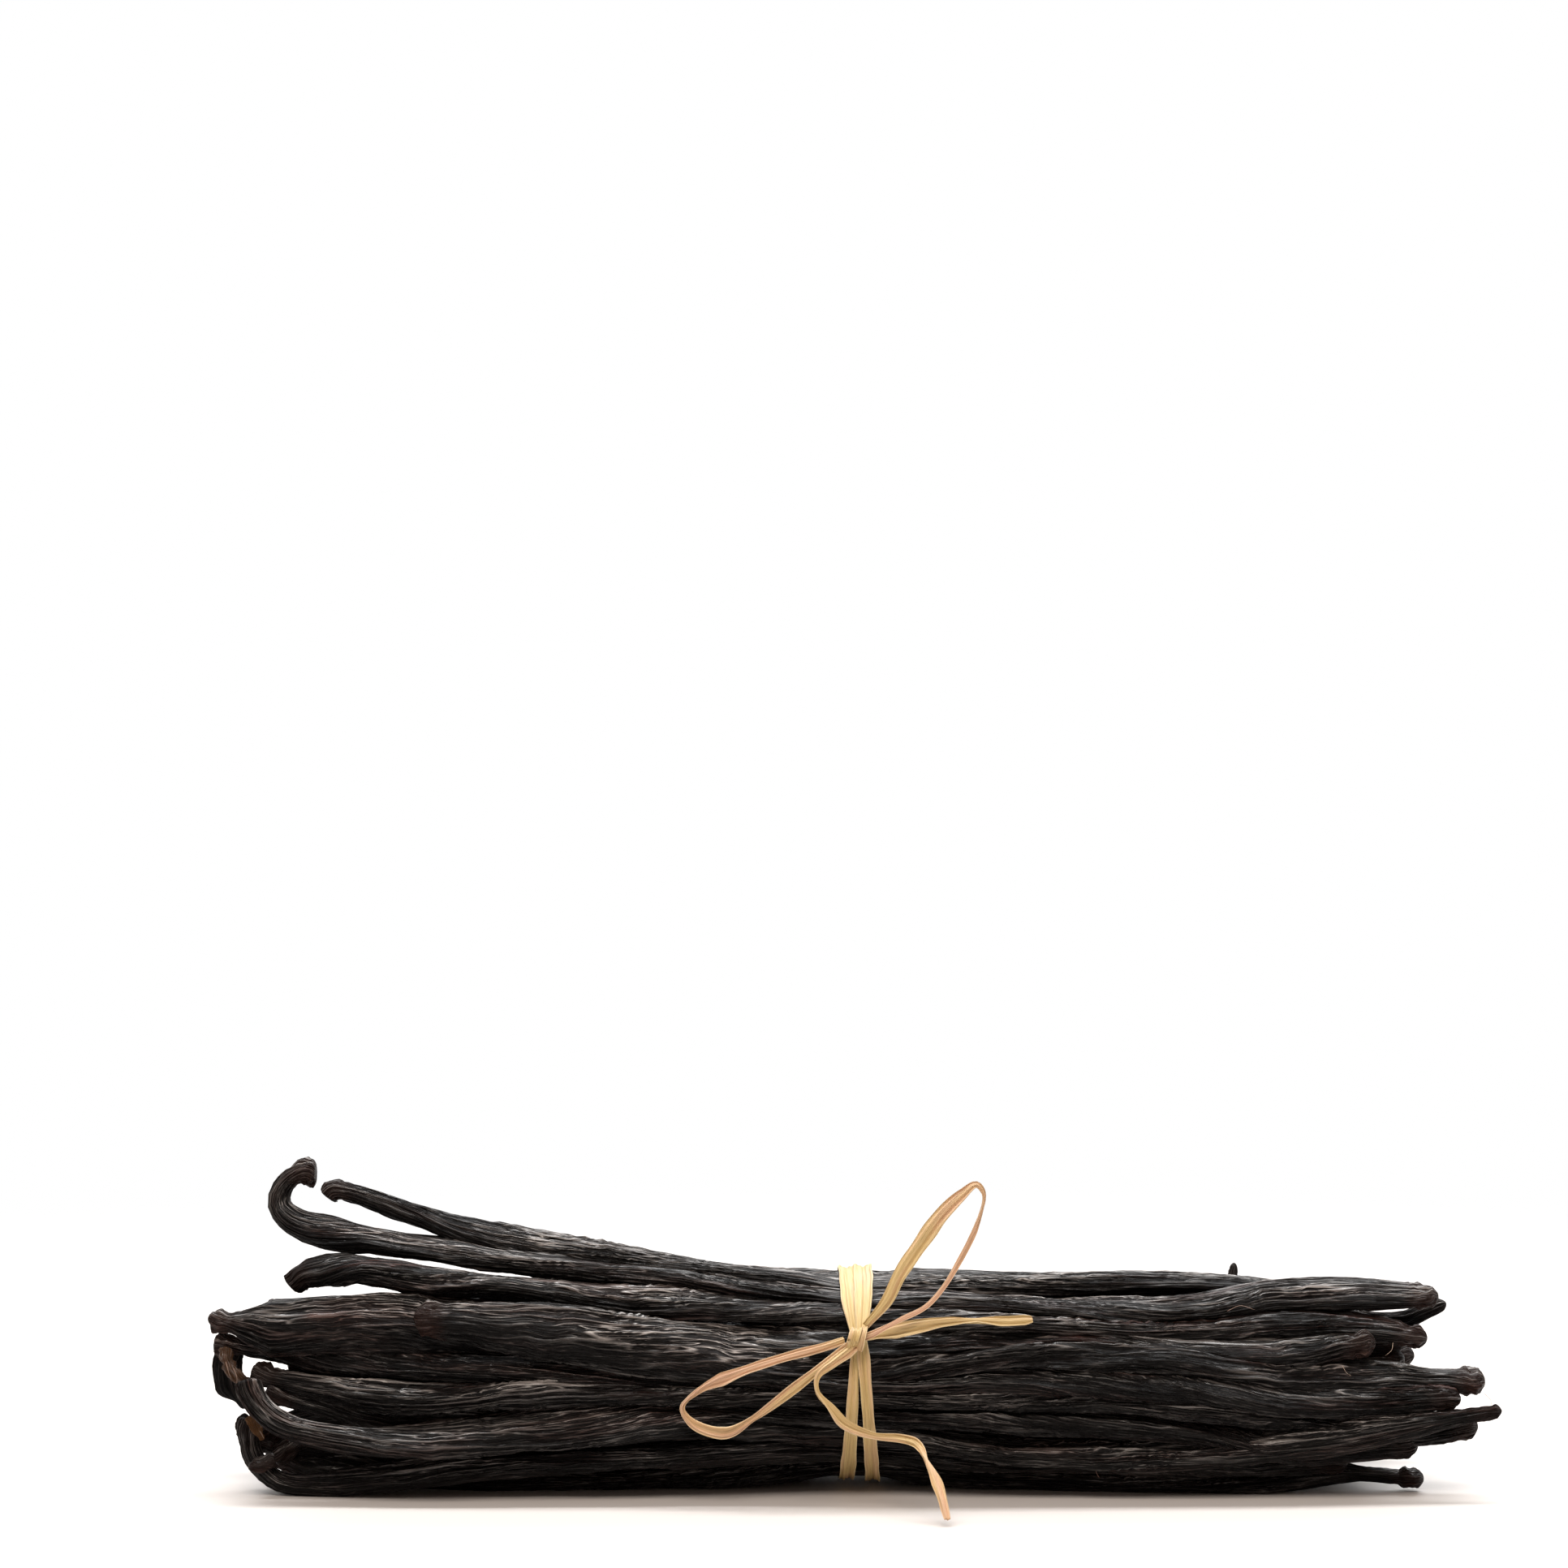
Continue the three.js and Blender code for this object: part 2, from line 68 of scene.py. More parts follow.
KNOT = (1, -19.3, 23.8)
UPPER_LOOP = [
    (2, -19.3, 25.6), (5, -19.2, 29.1), (7, -18.4, 32.9), (10, -17, 37.1), (13, -15.5, 41),
    (16, -14.5, 43.8), (18.1, -14, 45.2), (19.2, -13.8, 43.7), (18, -14.4, 39.1), (15.5, -15.8, 34.3),
    (13, -17.6, 30.6), (10.5, -19, 28.2), (7, -20, 26.6), (4.2, -20.3, 25.2), (2.8, -20.3, 24.5),
]
RIGHT_TAIL = [
    (3.2, -18.4, 24.1), (7, -18.5, 24.9), (13, -18.5, 26), (18, -18, 26.2), (22, -17.5, 26),
    (26, -17, 26.2),
]
LOWER_LOOP = [
    (-1, -18.5, 23.4), (-4, -19.6, 22.6), (-10, -20.8, 21.2), (-17, -21.5, 18.9), (-22, -21, 16.5),
    (-24.2, -20.5, 14.1), (-22.6, -20.5, 11.8), (-18, -21, 10.6), (-14, -21.5, 12.8), (-8, -21.4, 17.2),
    (-4, -20.6, 20.2), (-0.8, -19.5, 22.5),
]
LOWER_TAIL = [
    (-0.2, -20.6, 22.3), (-2.4, -21.9, 20.9), (-4.9, -23, 19), (-5, -23.4, 17), (-3, -23, 14.4),
    (-1, -22.6, 12.1), (3, -22.6, 10.5), (7, -23.2, 10.2), (9, -24.6, 9.8), (10.4, -27.5, 8),
    (12, -31.4, 4.6), (13, -34.6, 1),
]

LEAF_THICKNESS = 0.24
LEAF_SIDES = 56
LEAF_STEP = 0.4
PLEAT_DEPTH = 0.24
# How many pleats lie across a leaf, and their share of the depth
PLEATS = ((1.5, 1.0), (3.5, 0.55), (7.5, 0.25))
# How far the pleats shift to the side along a leaf, in pleats, and how many mm a radian of it takes
PLEAT_SHIFT = 0.22
PLEAT_SHIFT_OVER = (5, 9)
FULL_PLEAT_WIDTH = 1.8
# How hollow a leaf is across, as a share of its width
CUP = 0.10
# Two waves along a leaf change its width: by what share, and how many mm a radian takes
WIDTH_WAVES = ((0.05, 2.3), (0.03, 0.9))
# How far from each other the leaves lie in the pattern of their fibres, in mm
LEAVES_APART = 100
# The edge left free round a map, as a share of it
MAP_EDGE = 0.01


def path_through(points, step):
    """Places a step apart on a centripetal Catmull-Rom curve through the points."""
    p = np.array(points, float)
    p = np.vstack([2 * p[0] - p[1], p, 2 * p[-1] - p[-2]])
    fine = []
    share = np.linspace(0, 1, 24, endpoint=False)[:, None]
    for a, b, c, d in zip(p, p[1:], p[2:], p[3:]):
        before, here, after = (math.sqrt(np.linalg.norm(v)) for v in (b - a, c - b, d - c))
        leave = ((b - a) / before - (c - a) / (before + here) + (c - b) / here) * here
        arrive = ((c - b) / here - (d - b) / (here + after) + (d - c) / after) * here
        square, cube = share**2, share**3
        fine.append(
            (2 * cube - 3 * square + 1) * b + (cube - 2 * square + share) * leave
            + (3 * square - 2 * cube) * c + (cube - square) * arrive
        )
    fine = np.vstack([*fine, p[-2][None]])
    return spaced_out(fine, np.arange(0, length_of(fine), step))


def distances(line):
    return np.concatenate([[0], np.cumsum(np.linalg.norm(np.diff(line, axis=0), axis=1))])


def length_of(line):
    return float(distances(line)[-1])


def spaced_out(line, places):
    """The line's points at these distances along it, and its very end."""
    along = distances(line)
    at = np.append(places, along[-1])
    return np.stack([np.interp(at, along, line[:, k]) for k in range(3)], axis=1)


def unit(vectors):
    return vectors / np.linalg.norm(vectors, axis=1, keepdims=True)


def square_to(way, headings):
    """At each place, the part of this way that is square to the heading, at length 1."""
    way = np.broadcast_to(np.array(way, float), headings.shape)
    return unit(way - (way * headings).sum(1, keepdims=True) * headings)


def stacked(*parts):
    """Vectors of three parts, each a number or a grid."""
    return np.stack(np.broadcast_arrays(*parts), axis=-1)


def tube_faces(count, sides, start=0, closed=False):
    """Faces through rings of points, joined end to end or with a face over each end."""
    faces = []
    for i in range(count if closed else count - 1):
        here, there = start + i * sides, start + (i + 1) % count * sides
        for j in range(sides):
            k = (j + 1) % sides
            faces.append((here + j, here + k, there + k, there + j))
    if not closed:
        last = start + (count - 1) * sides
        faces.append(tuple(range(start + sides - 1, start - 1, -1)))
        faces.append(tuple(range(last, last + sides)))
    return faces


def mesh_of(name, points, faces):
    """A mesh of points in mm."""
    mesh = bpy.data.meshes.new(name)
    mesh.from_pydata((points.reshape(-1, 3) * MM).tolist(), [], faces)
    return mesh


def zigzag(turns):
    """A pleat's shape, between -1 and 1 and straight between its folds."""
    return 4 * np.abs(turns - np.floor(turns + 0.5)) - 1


def leaf(name, line, widths, turns, facing, blush, pleated=1.0, closed=False, seed=0):
    """A pleated strip of leaf along a line in mm. Widths, turns and blush are pairs of a share of
    the length and a value; facing is the way that its broad side looks at each place, and pleated
    is a share of the full depth of its pleats."""
    heading = np.gradient(line, axis=0)
    if closed:
        heading = np.roll(line, -1, axis=0) - np.roll(line, 1, axis=0)
    heading = unit(heading)
    out = square_to(facing, heading)
    across = np.cross(heading, out)
    share = np.linspace(0, 1, len(line))
    width = np.interp(share, *zip(*widths))[:, None]
    turn = np.radians(np.interp(share, *zip(*turns)))[:, None]
    random = np.random.default_rng(seed)
    angle = np.linspace(0, 2 * math.pi, LEAF_SIDES, endpoint=False)[None]
    place = np.cos(angle)
    mm = distances(line)[:, None]
    pleats = 0
    for count, size in PLEATS:
        phase = random.uniform(0, 1) + np.sin(mm / random.uniform(*PLEAT_SHIFT_OVER)) * PLEAT_SHIFT
        pleats = pleats + PLEAT_DEPTH * size * zigzag(count * place / 2 + phase)
    pleats = pleats * pleated * np.minimum(1, width / FULL_PLEAT_WIDTH)
    wavy = 1
    for size, radian in WIDTH_WAVES:
        wavy = wavy + size * np.sin(mm / radian + random.uniform(0, 6))
    along_leaf = width / 2 * wavy * place
    off_leaf = LEAF_THICKNESS / 2 * np.sin(angle) + pleats + CUP * width * (place**2 - 0.5)
    side = along_leaf * np.cos(turn) - off_leaf * np.sin(turn)
    up = along_leaf * np.sin(turn) + off_leaf * np.cos(turn)
    rings = line[:, None] + side[..., None] * across[:, None] + up[..., None] * out[:, None]
    mesh = mesh_of(name, rings, tube_faces(len(line), LEAF_SIDES, closed=closed))
    lay_flat(mesh, len(line), closed)
    mesh.polygons.foreach_set("use_smooth", [True] * len(mesh.polygons))
    store(mesh, "grain", stacked(place * width, np.sin(angle), mm + LEAVES_APART * seed))
    redness = np.interp(share, *zip(*blush))[:, None]
    store(mesh, "leaf", stacked(np.abs(place), redness, 0.0))
    mend_facing(mesh)
    mesh.materials.append(raffia)
    piece = placed(name, mesh)
    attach(piece, "root")
    return piece


def store(mesh, name, vectors):
    made = mesh.attributes.new(name, "FLOAT_VECTOR", "POINT")
    made.data.foreach_set("vector", vectors.astype(np.float32).ravel())


def put_map(mesh, places):
    layer = mesh.uv_layers.new(name="OFBake")
    layer.data.foreach_set("uv", places.astype(np.float32).ravel())


def lay_flat(mesh, count, closed):
    """A map of the strip, opened along one edge: along it one way and round it the other."""
    places = []
    rows = count if closed else count - 1
    for face in mesh.polygons:
        rings = [v // LEAF_SIDES for v in face.vertices]
        turns = [v % LEAF_SIDES for v in face.vertices]
        if len(rings) > 4:
            places += [(rings[0] / rows, 0.5)] * len(rings)
            continue
        if max(rings) - min(rings) > 1:
            rings = [r or count for r in rings]
        if max(turns) - min(turns) > 1:
            turns = [t or LEAF_SIDES for t in turns]
        places += [(r / rows, t / LEAF_SIDES) for r, t in zip(rings, turns)]
    put_map(mesh, MAP_EDGE + (1 - 2 * MAP_EDGE) * np.array(places))


def mend_facing(mesh):
    """Turns all faces out if the closed mesh's volume comes out below nothing."""
    mesh.calc_loop_triangles()
    points = np.zeros(len(mesh.vertices) * 3)
    mesh.vertices.foreach_get("co", points)
    corners = np.zeros(len(mesh.loop_triangles) * 3, np.int32)
    mesh.loop_triangles.foreach_get("vertices", corners)
    a, b, c = points.reshape(-1, 3)[corners.reshape(-1, 3)].transpose(1, 0, 2)
    if (a * np.cross(b, c)).sum() < 0:
        mesh.flip_normals()


class Wire:
    """A node's output. Sums on it make Math nodes, and node() makes any other node."""

    def __init__(self, tree, socket=None):
        self.tree = tree
        self.socket = socket

    def node(self, kind, settings=None, inputs=None, output=0):
        made = self.tree.nodes.new(kind)
        for name, value in (settings or {}).items():
            setattr(made, name, value)
        for key, value in (inputs or {}).items():
            if isinstance(value, Wire):
                self.tree.links.new(value.socket, made.inputs[key])
            else:
                made.inputs[key].default_value = value
        return Wire(self.tree, made.outputs[output])

    def math(self, operation, *values):
        return self.node("ShaderNodeMath", {"operation": operation}, dict(enumerate(values)))

    def least(self, other):
        return self.math("MINIMUM", self, other)

    def most(self, other):
        return self.math("MAXIMUM", self, other)

    def vector(self, operation, *values, output=0):
        settings = {"operation": operation}
        return self.node("ShaderNodeVectorMath", settings, dict(enumerate([self, *values])), output)

    def scaled(self, factor):
        return self.node("ShaderNodeVectorMath", {"operation": "SCALE"}, {0: self, 3: factor})

    def noise(self, scale, detail=0.0):
        return self.node("ShaderNodeTexNoise", None, {"Vector": self, "Scale": scale, "Detail": detail})

    def crests(self, scale, stretch, sharpness=9.0, detail=0.0):
        """1 on the sharp crests of long wrinkles and 0 in the valleys between them."""
        lengthened = self.vector("MULTIPLY", (1.0, 1.0, 1 / stretch))
        return (1 - (abs(lengthened.noise(scale, detail) - 0.5) * sharpness).least(1.0)) ** 1.5

    def ramp(self, low, high):
        """0 below low and 1 above high, smoothly."""
        return self.node(
            "ShaderNodeMapRange",
            {"interpolation_type": "SMOOTHSTEP"},
            {0: self, 1: low, 2: high, 3: 0.0, 4: 1.0},
        )

    def joined(self, x, y, z):
        return self.node("ShaderNodeCombineXYZ", None, {0: x, 1: y, 2: z})

    def part(self, axis):
        return self.node("ShaderNodeSeparateXYZ", None, {0: self}, axis)

    def mixed(self, factor, a, b):
        """Colour a turning into colour b."""
        return self.node("ShaderNodeMix", {"data_type": "RGBA"}, {0: factor, 6: a, 7: b}, 2)

    def kept(self, name, output=1):
        """What the mesh says under this name: output 1 for a vector, 2 for a number."""
        return self.node("ShaderNodeAttribute", {"attribute_name": name}, None, output)

    def bumped(self, strength, distance):
        inputs = {"Strength": strength, "Distance": distance, "Height": self}
        return self.node("ShaderNodeBump", None, inputs)

    def __abs__(self):
        return self.math("ABSOLUTE", self)


def add_operator(sign, operation):
    """Lets a Wire be used with this sign, on either side of it."""
    setattr(Wire, f"__{sign}__", lambda self, other: self.math(operation, self, other))
    setattr(Wire, f"__r{sign}__", lambda self, other: self.math(operation, other, self))


add_operator("add", "ADD")
add_operator("sub", "SUBTRACT")
add_operator("mul", "MULTIPLY")
add_operator("truediv", "DIVIDE")
add_operator("pow", "POWER")


def material(name):
    """A bare material, the Wire that its nodes are made from, and its surface."""
    made = bpy.data.materials.new(name)
    made.use_nodes = True
    return made, Wire(made.node_tree), made.node_tree.nodes["Principled BSDF"]


def feed(surface, **values):
    """Wires into the surface's sockets by name, with _ for a space."""
    tree = surface.id_data
    for name, value in values.items():
        tree.links.new(value.socket, surface.inputs[name.replace("_", " ").title()])


# Dry palm leaf: straw yellow, turning peach in stretches, paler along its edges, with fibres
STRAW = (0.57, 0.42, 0.18, 1)
PEACH = (0.62, 0.38, 0.25, 1)
FIBRE = (0.24, 0.14, 0.05, 1)
PALE = (0.66, 0.54, 0.34, 1)

raffia, draw, surface = material("raffia")
grain = draw.kept("grain")
leaf_facts = draw.kept("leaf")
fibres = grain.vector("MULTIPLY", (6.0, 0.6, 0.16)).noise(1.6, 3.0)
stretches = grain.vector("MULTIPLY", (0.5, 0.1, 0.09)).noise(1.0)
streaks = grain.vector("MULTIPLY", (2.6, 0.3, 0.05)).noise(1.0)
peachy = (leaf_facts.part(1) + stretches.ramp(0.48, 0.7) * 0.45).least(1.0)
tone = draw.mixed(peachy, STRAW, PEACH)
tone = draw.mixed(fibres.ramp(0.5, 0.72) * 0.45 + streaks.ramp(0.55, 0.72) * 0.35, tone, FIBRE)
feed(surface, base_color=draw.mixed(leaf_facts.part(0).ramp(0.8, 0.98) * 0.55, tone, PALE))
feed(surface, roughness=0.4 + fibres * 0.2)
feed(surface, normal=fibres.bumped(0.6, 0.00012))

# The broad sides of the loose strips look out from the bundle and a little up
OUT_AND_UP = (0, -1, 0.4)


def declare_cord(line):
    """One end of the strip is held in the knot and the other is a bare cut end. This only works out the
    strip's length, and keeps nothing of it.
    """
    length_of(line) * MM


upper_line = path_through([*UPPER_LOOP, (1.2, -19.8, 23.9), *RIGHT_TAIL], LEAF_STEP)
upper_strip = leaf(
    "raffia_upper_strip", upper_line,
    widths=[(0, 1.1), (0.06, 1.7), (0.14, 2.3), (0.20, 2.4), (0.28, 1.7), (0.345, 0.6), (0.40, 0.9),
            (0.52, 0.75), (0.60, 0.9), (0.63, 0.7), (0.68, 1.2), (0.73, 1.2), (0.76, 2.3), (0.82, 2.0),
            (0.88, 1.2), (0.92, 1.4), (0.985, 1.6), (1, 0.9)],
    turns=[(0, 0), (0.1, 12), (0.2, -8), (0.33, 20), (0.36, 75), (0.42, 30), (0.6, -20), (0.7, 0),
           (0.86, 10), (0.9, 50), (0.94, 15), (1, 10)],
    facing=OUT_AND_UP,
    blush=[(0, 0), (0.2, 0.1), (0.3, 0.5), (0.36, 0.8), (0.66, 0.9), (0.72, 0.1), (1, 0)],
    seed=1,
)
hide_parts("raffia_loop_upper", "raffia_tail_right")
declare_cord(upper_line)

lower_line = path_through([*LOWER_LOOP, (0.6, -19.9, 23.2), *LOWER_TAIL], LEAF_STEP)
lower_strip = leaf(
    "raffia_lower_strip", lower_line,
    widths=[(0, 1.1), (0.06, 1.5), (0.15, 1.35), (0.19, 1.9), (0.22, 1.1), (0.25, 0.8), (0.29, 1.4),
            (0.34, 1.8), (0.39, 1.0), (0.45, 1.5), (0.54, 1.2), (0.60, 1.5), (0.64, 1.2), (0.67, 0.9),
            (0.73, 1.7), (0.79, 1.0), (0.85, 1.5), (0.885, 0.8), (0.94, 1.7), (0.98, 1.3), (1, 0.9)],
    turns=[(0, 0), (0.17, -15), (0.22, 30), (0.25, 70), (0.3, 10), (0.38, -25), (0.5, -10), (0.64, 20),
           (0.68, 60), (0.74, 10), (0.87, 0), (0.89, 60), (0.93, 15), (1, 25)],
    facing=OUT_AND_UP,
    blush=[(0, 0.2), (0.05, 0.8), (0.2, 0.9), (0.27, 0.5), (0.33, 0.4), (0.4, 0.6), (0.45, 0.2),
           (0.85, 0.1), (0.89, 0.7), (0.95, 0.3), (1, 0.5)],
    seed=2,
)
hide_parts("raffia_loop_lower", "raffia_tail_lower")
declare_cord(lower_line)

# ---------------------------------------------------------------- Near pods
# Cured vanilla pods: soft, oily, nearly black skins that have shrunk into long wrinkles. Each has a
# stem end, most with a knob on a thin neck, a flat body, and a blunt or pointed blossom end.

# The tie, and the oval of pods that it holds. The near pods' middle lines lie inset from it.
TIE_X = 1
OVAL_HALF_DEPTH = 19
OVAL_HALF_HEIGHT = 15
OVAL_MIDDLE = 16
NEAR_INSET = 3.76

# For each end in mm: the widths of its knob and neck, the neck's length, and the length over which
# the pod widens after it. Turns pair a distance from the stem end with how far the flat side is
# turned to the near side there, in degrees. The rest are shares of 1: how much grey the crests get,
# partly dry bloom and partly painted highlight, how red the skin is, how much of its wrinkling is
# round ribs, and how lumpy the two ends are.
near_pods = [
    # Straight pod on top, its stem end high in the air
    dict(
        body=6.6, depth=3.0, stem_end=(3.0, 2.6, 3, 38), blossom_end=(2.0, 2.2, 0.5, 24),
        stem=[(-77.8, 2, 41.4), (-76.5, 2, 42.6), (-65.5, 1, 39.5), (-56.5, 0, 36.8), (-39.5, -2, 34.1)],
        height=29.4,
        blossom=[(45, -2, 29.3), (62, 1, 27.9), (71.5, 1, 24.9), (77, 0, 23.4), (81.5, -1, 23.6),
                 (84.8, -1.5, 25), (88, -2, 26.5)],
        turns=[(0, 30), (28, 40), (45, 20), (60, 0), (120, 0), (170, 10)],
        dry=0.9, red=0.15, ribs=0.5, lumps=(0.7, 0.2), twist=0.2,
    ),
    # Pod whose stem end curls up and back like a crook
    dict(
        body=6.6, depth=3.2, stem_end=(4.2, 2.4, 2, 26), blossom_end=(4.4, 5.0, 1, 10),
        stem=[(-79, 4, 44.9), (-82.3, 4, 44.8), (-84.6, 4, 42.6), (-84.8, 3.5, 40.3), (-82.5, 2, 38.1),
              (-77.5, 0, 36.6), (-68.5, -2, 35.1), (-58, -3, 34.1), (-50.5, -4, 32.9), (-25, -6.5, 30.4)],
        height=27.8,
        blossom=[(24, -10, 26.8), (43, -9, 26.2), (52.5, -8, 26.6), (63.5, -7, 28.2), (86, -7, 28.1)],
        turns=[(0, 60), (10, 65), (17, 55), (25, 12), (38, 10), (46, 0), (120, 0), (165, 25)],
        dry=0.65, red=0.35, ribs=1.0, lumps=(1, 1), twist=0.1,
    ),
    # Pod that arches up before its blunt stem end drops
    dict(
        body=7.0, depth=3.3, stem_end=(3.4, 3.6, 0.5, 12), blossom_end=(3.6, 4.2, 1, 12),
        stem=[(-82.2, -4, 29), (-80, -4.5, 30.9), (-76.5, -5.5, 31.8), (-71, -7, 32), (-66, -7.6, 31.3),
              (-62, -8, 30.6), (-50, -8.8, 29.8), (-36, -9.5, 28.6), (-19, -11.5, 27)],
        height=25.6,
        blossom=[(24, -12, 25), (47, -11, 23.7), (62, -10, 24.2), (74, -9, 23.9), (84, -9, 22.2)],
        turns=[(0, 45), (6, 50), (10, 18), (13, 0), (34, 0), (42, 12), (53, 35), (68, 10), (80, 0),
               (165, 0)],
        dry=0.6, red=0.6, ribs=0.2, lumps=(0.5, 1), twist=-0.8,
    ),
    # Broad pod that goes behind the next one
    dict(
        body=8.4, depth=3.8, stem_end=(3.8, 2.2, 1.8, 9), blossom_end=(4.4, 4.2, 2, 10),
        stem=[(-93.5, -8, 25), (-90.4, -9, 24.6), (-83.5, -11, 24.3), (-69, -11.5, 25), (-58, -10, 24.2),
              (-41, -9.5, 23)],
        height=22.4,
        blossom=[(24, -12, 23.6), (47, -12, 22), (64, -12, 21.5), (76, -12, 22.2)],
        turns=[(0, 60), (10, 75), (40, 72), (60, 30), (95, 20), (170, 20)], stem_rounding=1.5,
        dry=0.5, red=0.7, ribs=0.1, lumps=(1, 1), twist=0.25,
    ),
    # Broadest pod, whose blunt stem end lies on the last one
    dict(
        body=8.4, depth=3.8, stem_end=(4.8, 5.0, 0.5, 20), blossom_end=(5.8, 4.4, 6, 14),
        stem_rounding=1.8,
        stem=[(-63, -14, 26), (-59, -15.2, 25.8), (-41.5, -15.7, 23.9), (-24.5, -15.4, 21.3)],
        height=19.6,
        blossom=[(22, -14.5, 21.6), (43, -14, 20.8), (62, -13, 18.2), (79, -12, 16.8), (92, -11, 16.3)],
        turns=[(0, 75), (30, 68), (50, 50), (64, 35), (90, 20), (155, 20)],
        dry=0.85, red=0.3, ribs=0.3, lumps=(0.9, 1), twist=-0.25,
    ),
    dict(
        body=7.6, depth=3.8, stem_end=(3.8, 2.4, 7, 20), blossom_end=(3.6, 3.6, 1, 18),
        stem=[(-93, -8, 21.4), (-84, -9, 20.4), (-70.5, -10.5, 19.1), (-41, -12.5, 18)],
        height=17.2, blossom=[(24, -15.4, 17.9), (47, -15.4, 16.6), (67, -15, 14.9), (88, -14, 14.3)],
        turns=[(0, 0), (90, 10), (170, 30)],
        dry=0.35, red=0.5, ribs=0.1, lumps=(1, 0.6), twist=0.6,
    ),
    dict(
        body=7.4, depth=3.6, stem_end=(3.3, 2.8, 5, 20), blossom_end=(4.2, 4.2, 1, 18),
        stem=[(-86.5, -10, 17.9), (-84, -11.5, 17), (-70, -13.5, 14.9), (-59.5, -14, 14.5),
              (-50, -14.5, 15.3), (-36, -14.8, 15.7)],
        height=14.9, blossom=[(47, -14.5, 13.6), (65, -13, 11.1), (79, -12, 9.2), (91, -11, 9.9)],
        turns=[(0, 20), (50, 10), (90, 0), (170, 0)],
        dry=1.0, red=0.15, ribs=0.3, lumps=(0.7, 0.5), twist=-0.4,
    ),
    dict(
        body=7.0, depth=3.6, stem_end=(3.0, 2.6, 4, 20), blossom_end=(4.2, 4.2, 1, 18),
        stem=[(-85, -12, 15.4), (-82, -12, 14.2), (-76, -12, 13), (-66.5, -12, 11.9), (-50.5, -12, 11.9)],
        height=12.4, blossom=[(47, -14, 10.1), (65, -13.5, 7.4), (82, -13, 7.5)],
        turns=[(0, 30), (85, 10), (165, 20)],
        dry=0.3, red=0.2, ribs=0.2, lumps=(0.7, 0.4), twist=0.9,
    ),
    # Pod that bows forward at the stem end and ends furthest out at the blossom end
    dict(
        body=7.4, depth=3.8, stem_end=(3.7, 3.4, 12, 24), blossom_end=(1.8, 1.7, 1, 32),
        stem=[(-87, -15, 17.6), (-86.5, -15.5, 15.9), (-84.5, -16.5, 13.1), (-81, -17.2, 10.9),
              (-74, -17.5, 9.2), (-66.5, -17.5, 8.7), (-59.5, -17.3, 9), (-47.5, -16.8, 10.4),
              (-28, -16, 11.3)],
        height=9.9,
        blossom=[(24, -13, 6.8), (47, -13.5, 6.3), (64, -14.5, 8.2), (78, -15.5, 10.3), (93.5, -16, 13)],
        turns=[(0, 20), (25, 30), (50, 40), (92, 10), (135, 10), (185, 40)],
        dry=0.6, red=0.6, ribs=0.9, lumps=(0.1, 0.5), twist=-0.15,
    ),
    # Pod on the floor whose stem end turns up and is open at its tip
    dict(
        body=7.0, depth=3.4, stem_end=(3.4, 2.9, 14, 16), blossom_end=(2.8, 2.8, 1, 14), hollow=2.4,
        stem=[(-87, -9, 11), (-87.5, -9.5, 8.5), (-86.5, -10.5, 5), (-83, -11.5, 2), (-78.5, -12, 1.5),
              (-70, -12.5, 2.5), (-59.5, -13, 3.8), (-46.5, -13.5, 5), (-29, -13.8, 6.1)],
        height=6.6, blossom=[(24, -11, 4.8), (47, -11.5, 4.6), (72, -11.5, 4.5)],
        turns=[(0, 0), (165, 0)],
        dry=0.4, red=0.2, ribs=0.8, lumps=(0.3, 0.4), twist=0.2,
    ),
    # Lowest pod, pressed flat on the floor, with a knob on its thin blossom end too
    dict(
        body=7.0, depth=3.0, stem_end=(3.4, 2.4, 4, 22), blossom_end=(3.8, 2.1, 9, 8),
        stem=[(-77, -3, 3.2), (-63, -5, 1.2), (-41, -6, 1.1), (-20, -6.2, 1.9)],
        height=2.9,
        blossom=[(24, -6.2, 1.6), (45, -7.2, 1.1), (60, -8, 1.3), (70, -8.5, 2.6), (83.5, -9, 1.8)],
        turns=[(0, 0), (165, 0)],
        dry=0.3, red=0.1, ribs=0.1, lumps=(0.8, 0.8), twist=-0.4,
    ),
]

LINE_STEP = 0.5
# Rings are close together where the ends round off and where their knobs are, and the rings of one
# end keep to a share of a short pod's length
END_RINGS = (0, 0.05, 0.15, 0.3, 0.5, 0.75, 1, 1.3, 1.6, 2, 2.4, 2.8, 3.2, 3.7, 4.2, 4.8, 5.5, 6.3)
END_SHARE = 0.45
KNOB_LENGTH = 1.6
KNOB_TO_NECK = 2.4
# How far the two ends round off, as shares of their own widths
STEM_ROUNDING = 0.22
BLOSSOM_ROUNDING = 0.42
LEAST_WIDTH = 0.06
# The distances from an end between which its lumps fade out
LUMPS_FADE = (2.6, 6.0)
# How deep the hollow of a cut stem end is, where the pod's own isn't given
COMMON_HOLLOW = 0.45


def oval_half_depth(height):
    """How far the tie lets pods reach from the middle plane at a height."""
    share = (height - OVAL_MIDDLE) / OVAL_HALF_HEIGHT
    return OVAL_HALF_DEPTH * math.sqrt(max(0, 1 - share**2))


def smooth(share):
    share = np.clip(share, 0, 1)
    return share * share * (3 - 2 * share)


def end_width(distance, body, knob, neck, neck_length, widening):
    """A pod's width at a distance from one end, as that end's shape would have it."""
    thin = knob + (neck - knob) * smooth((distance - KNOB_LENGTH) / KNOB_TO_NECK)
    return thin + (body - thin) * smooth((distance - neck_length) / widening)


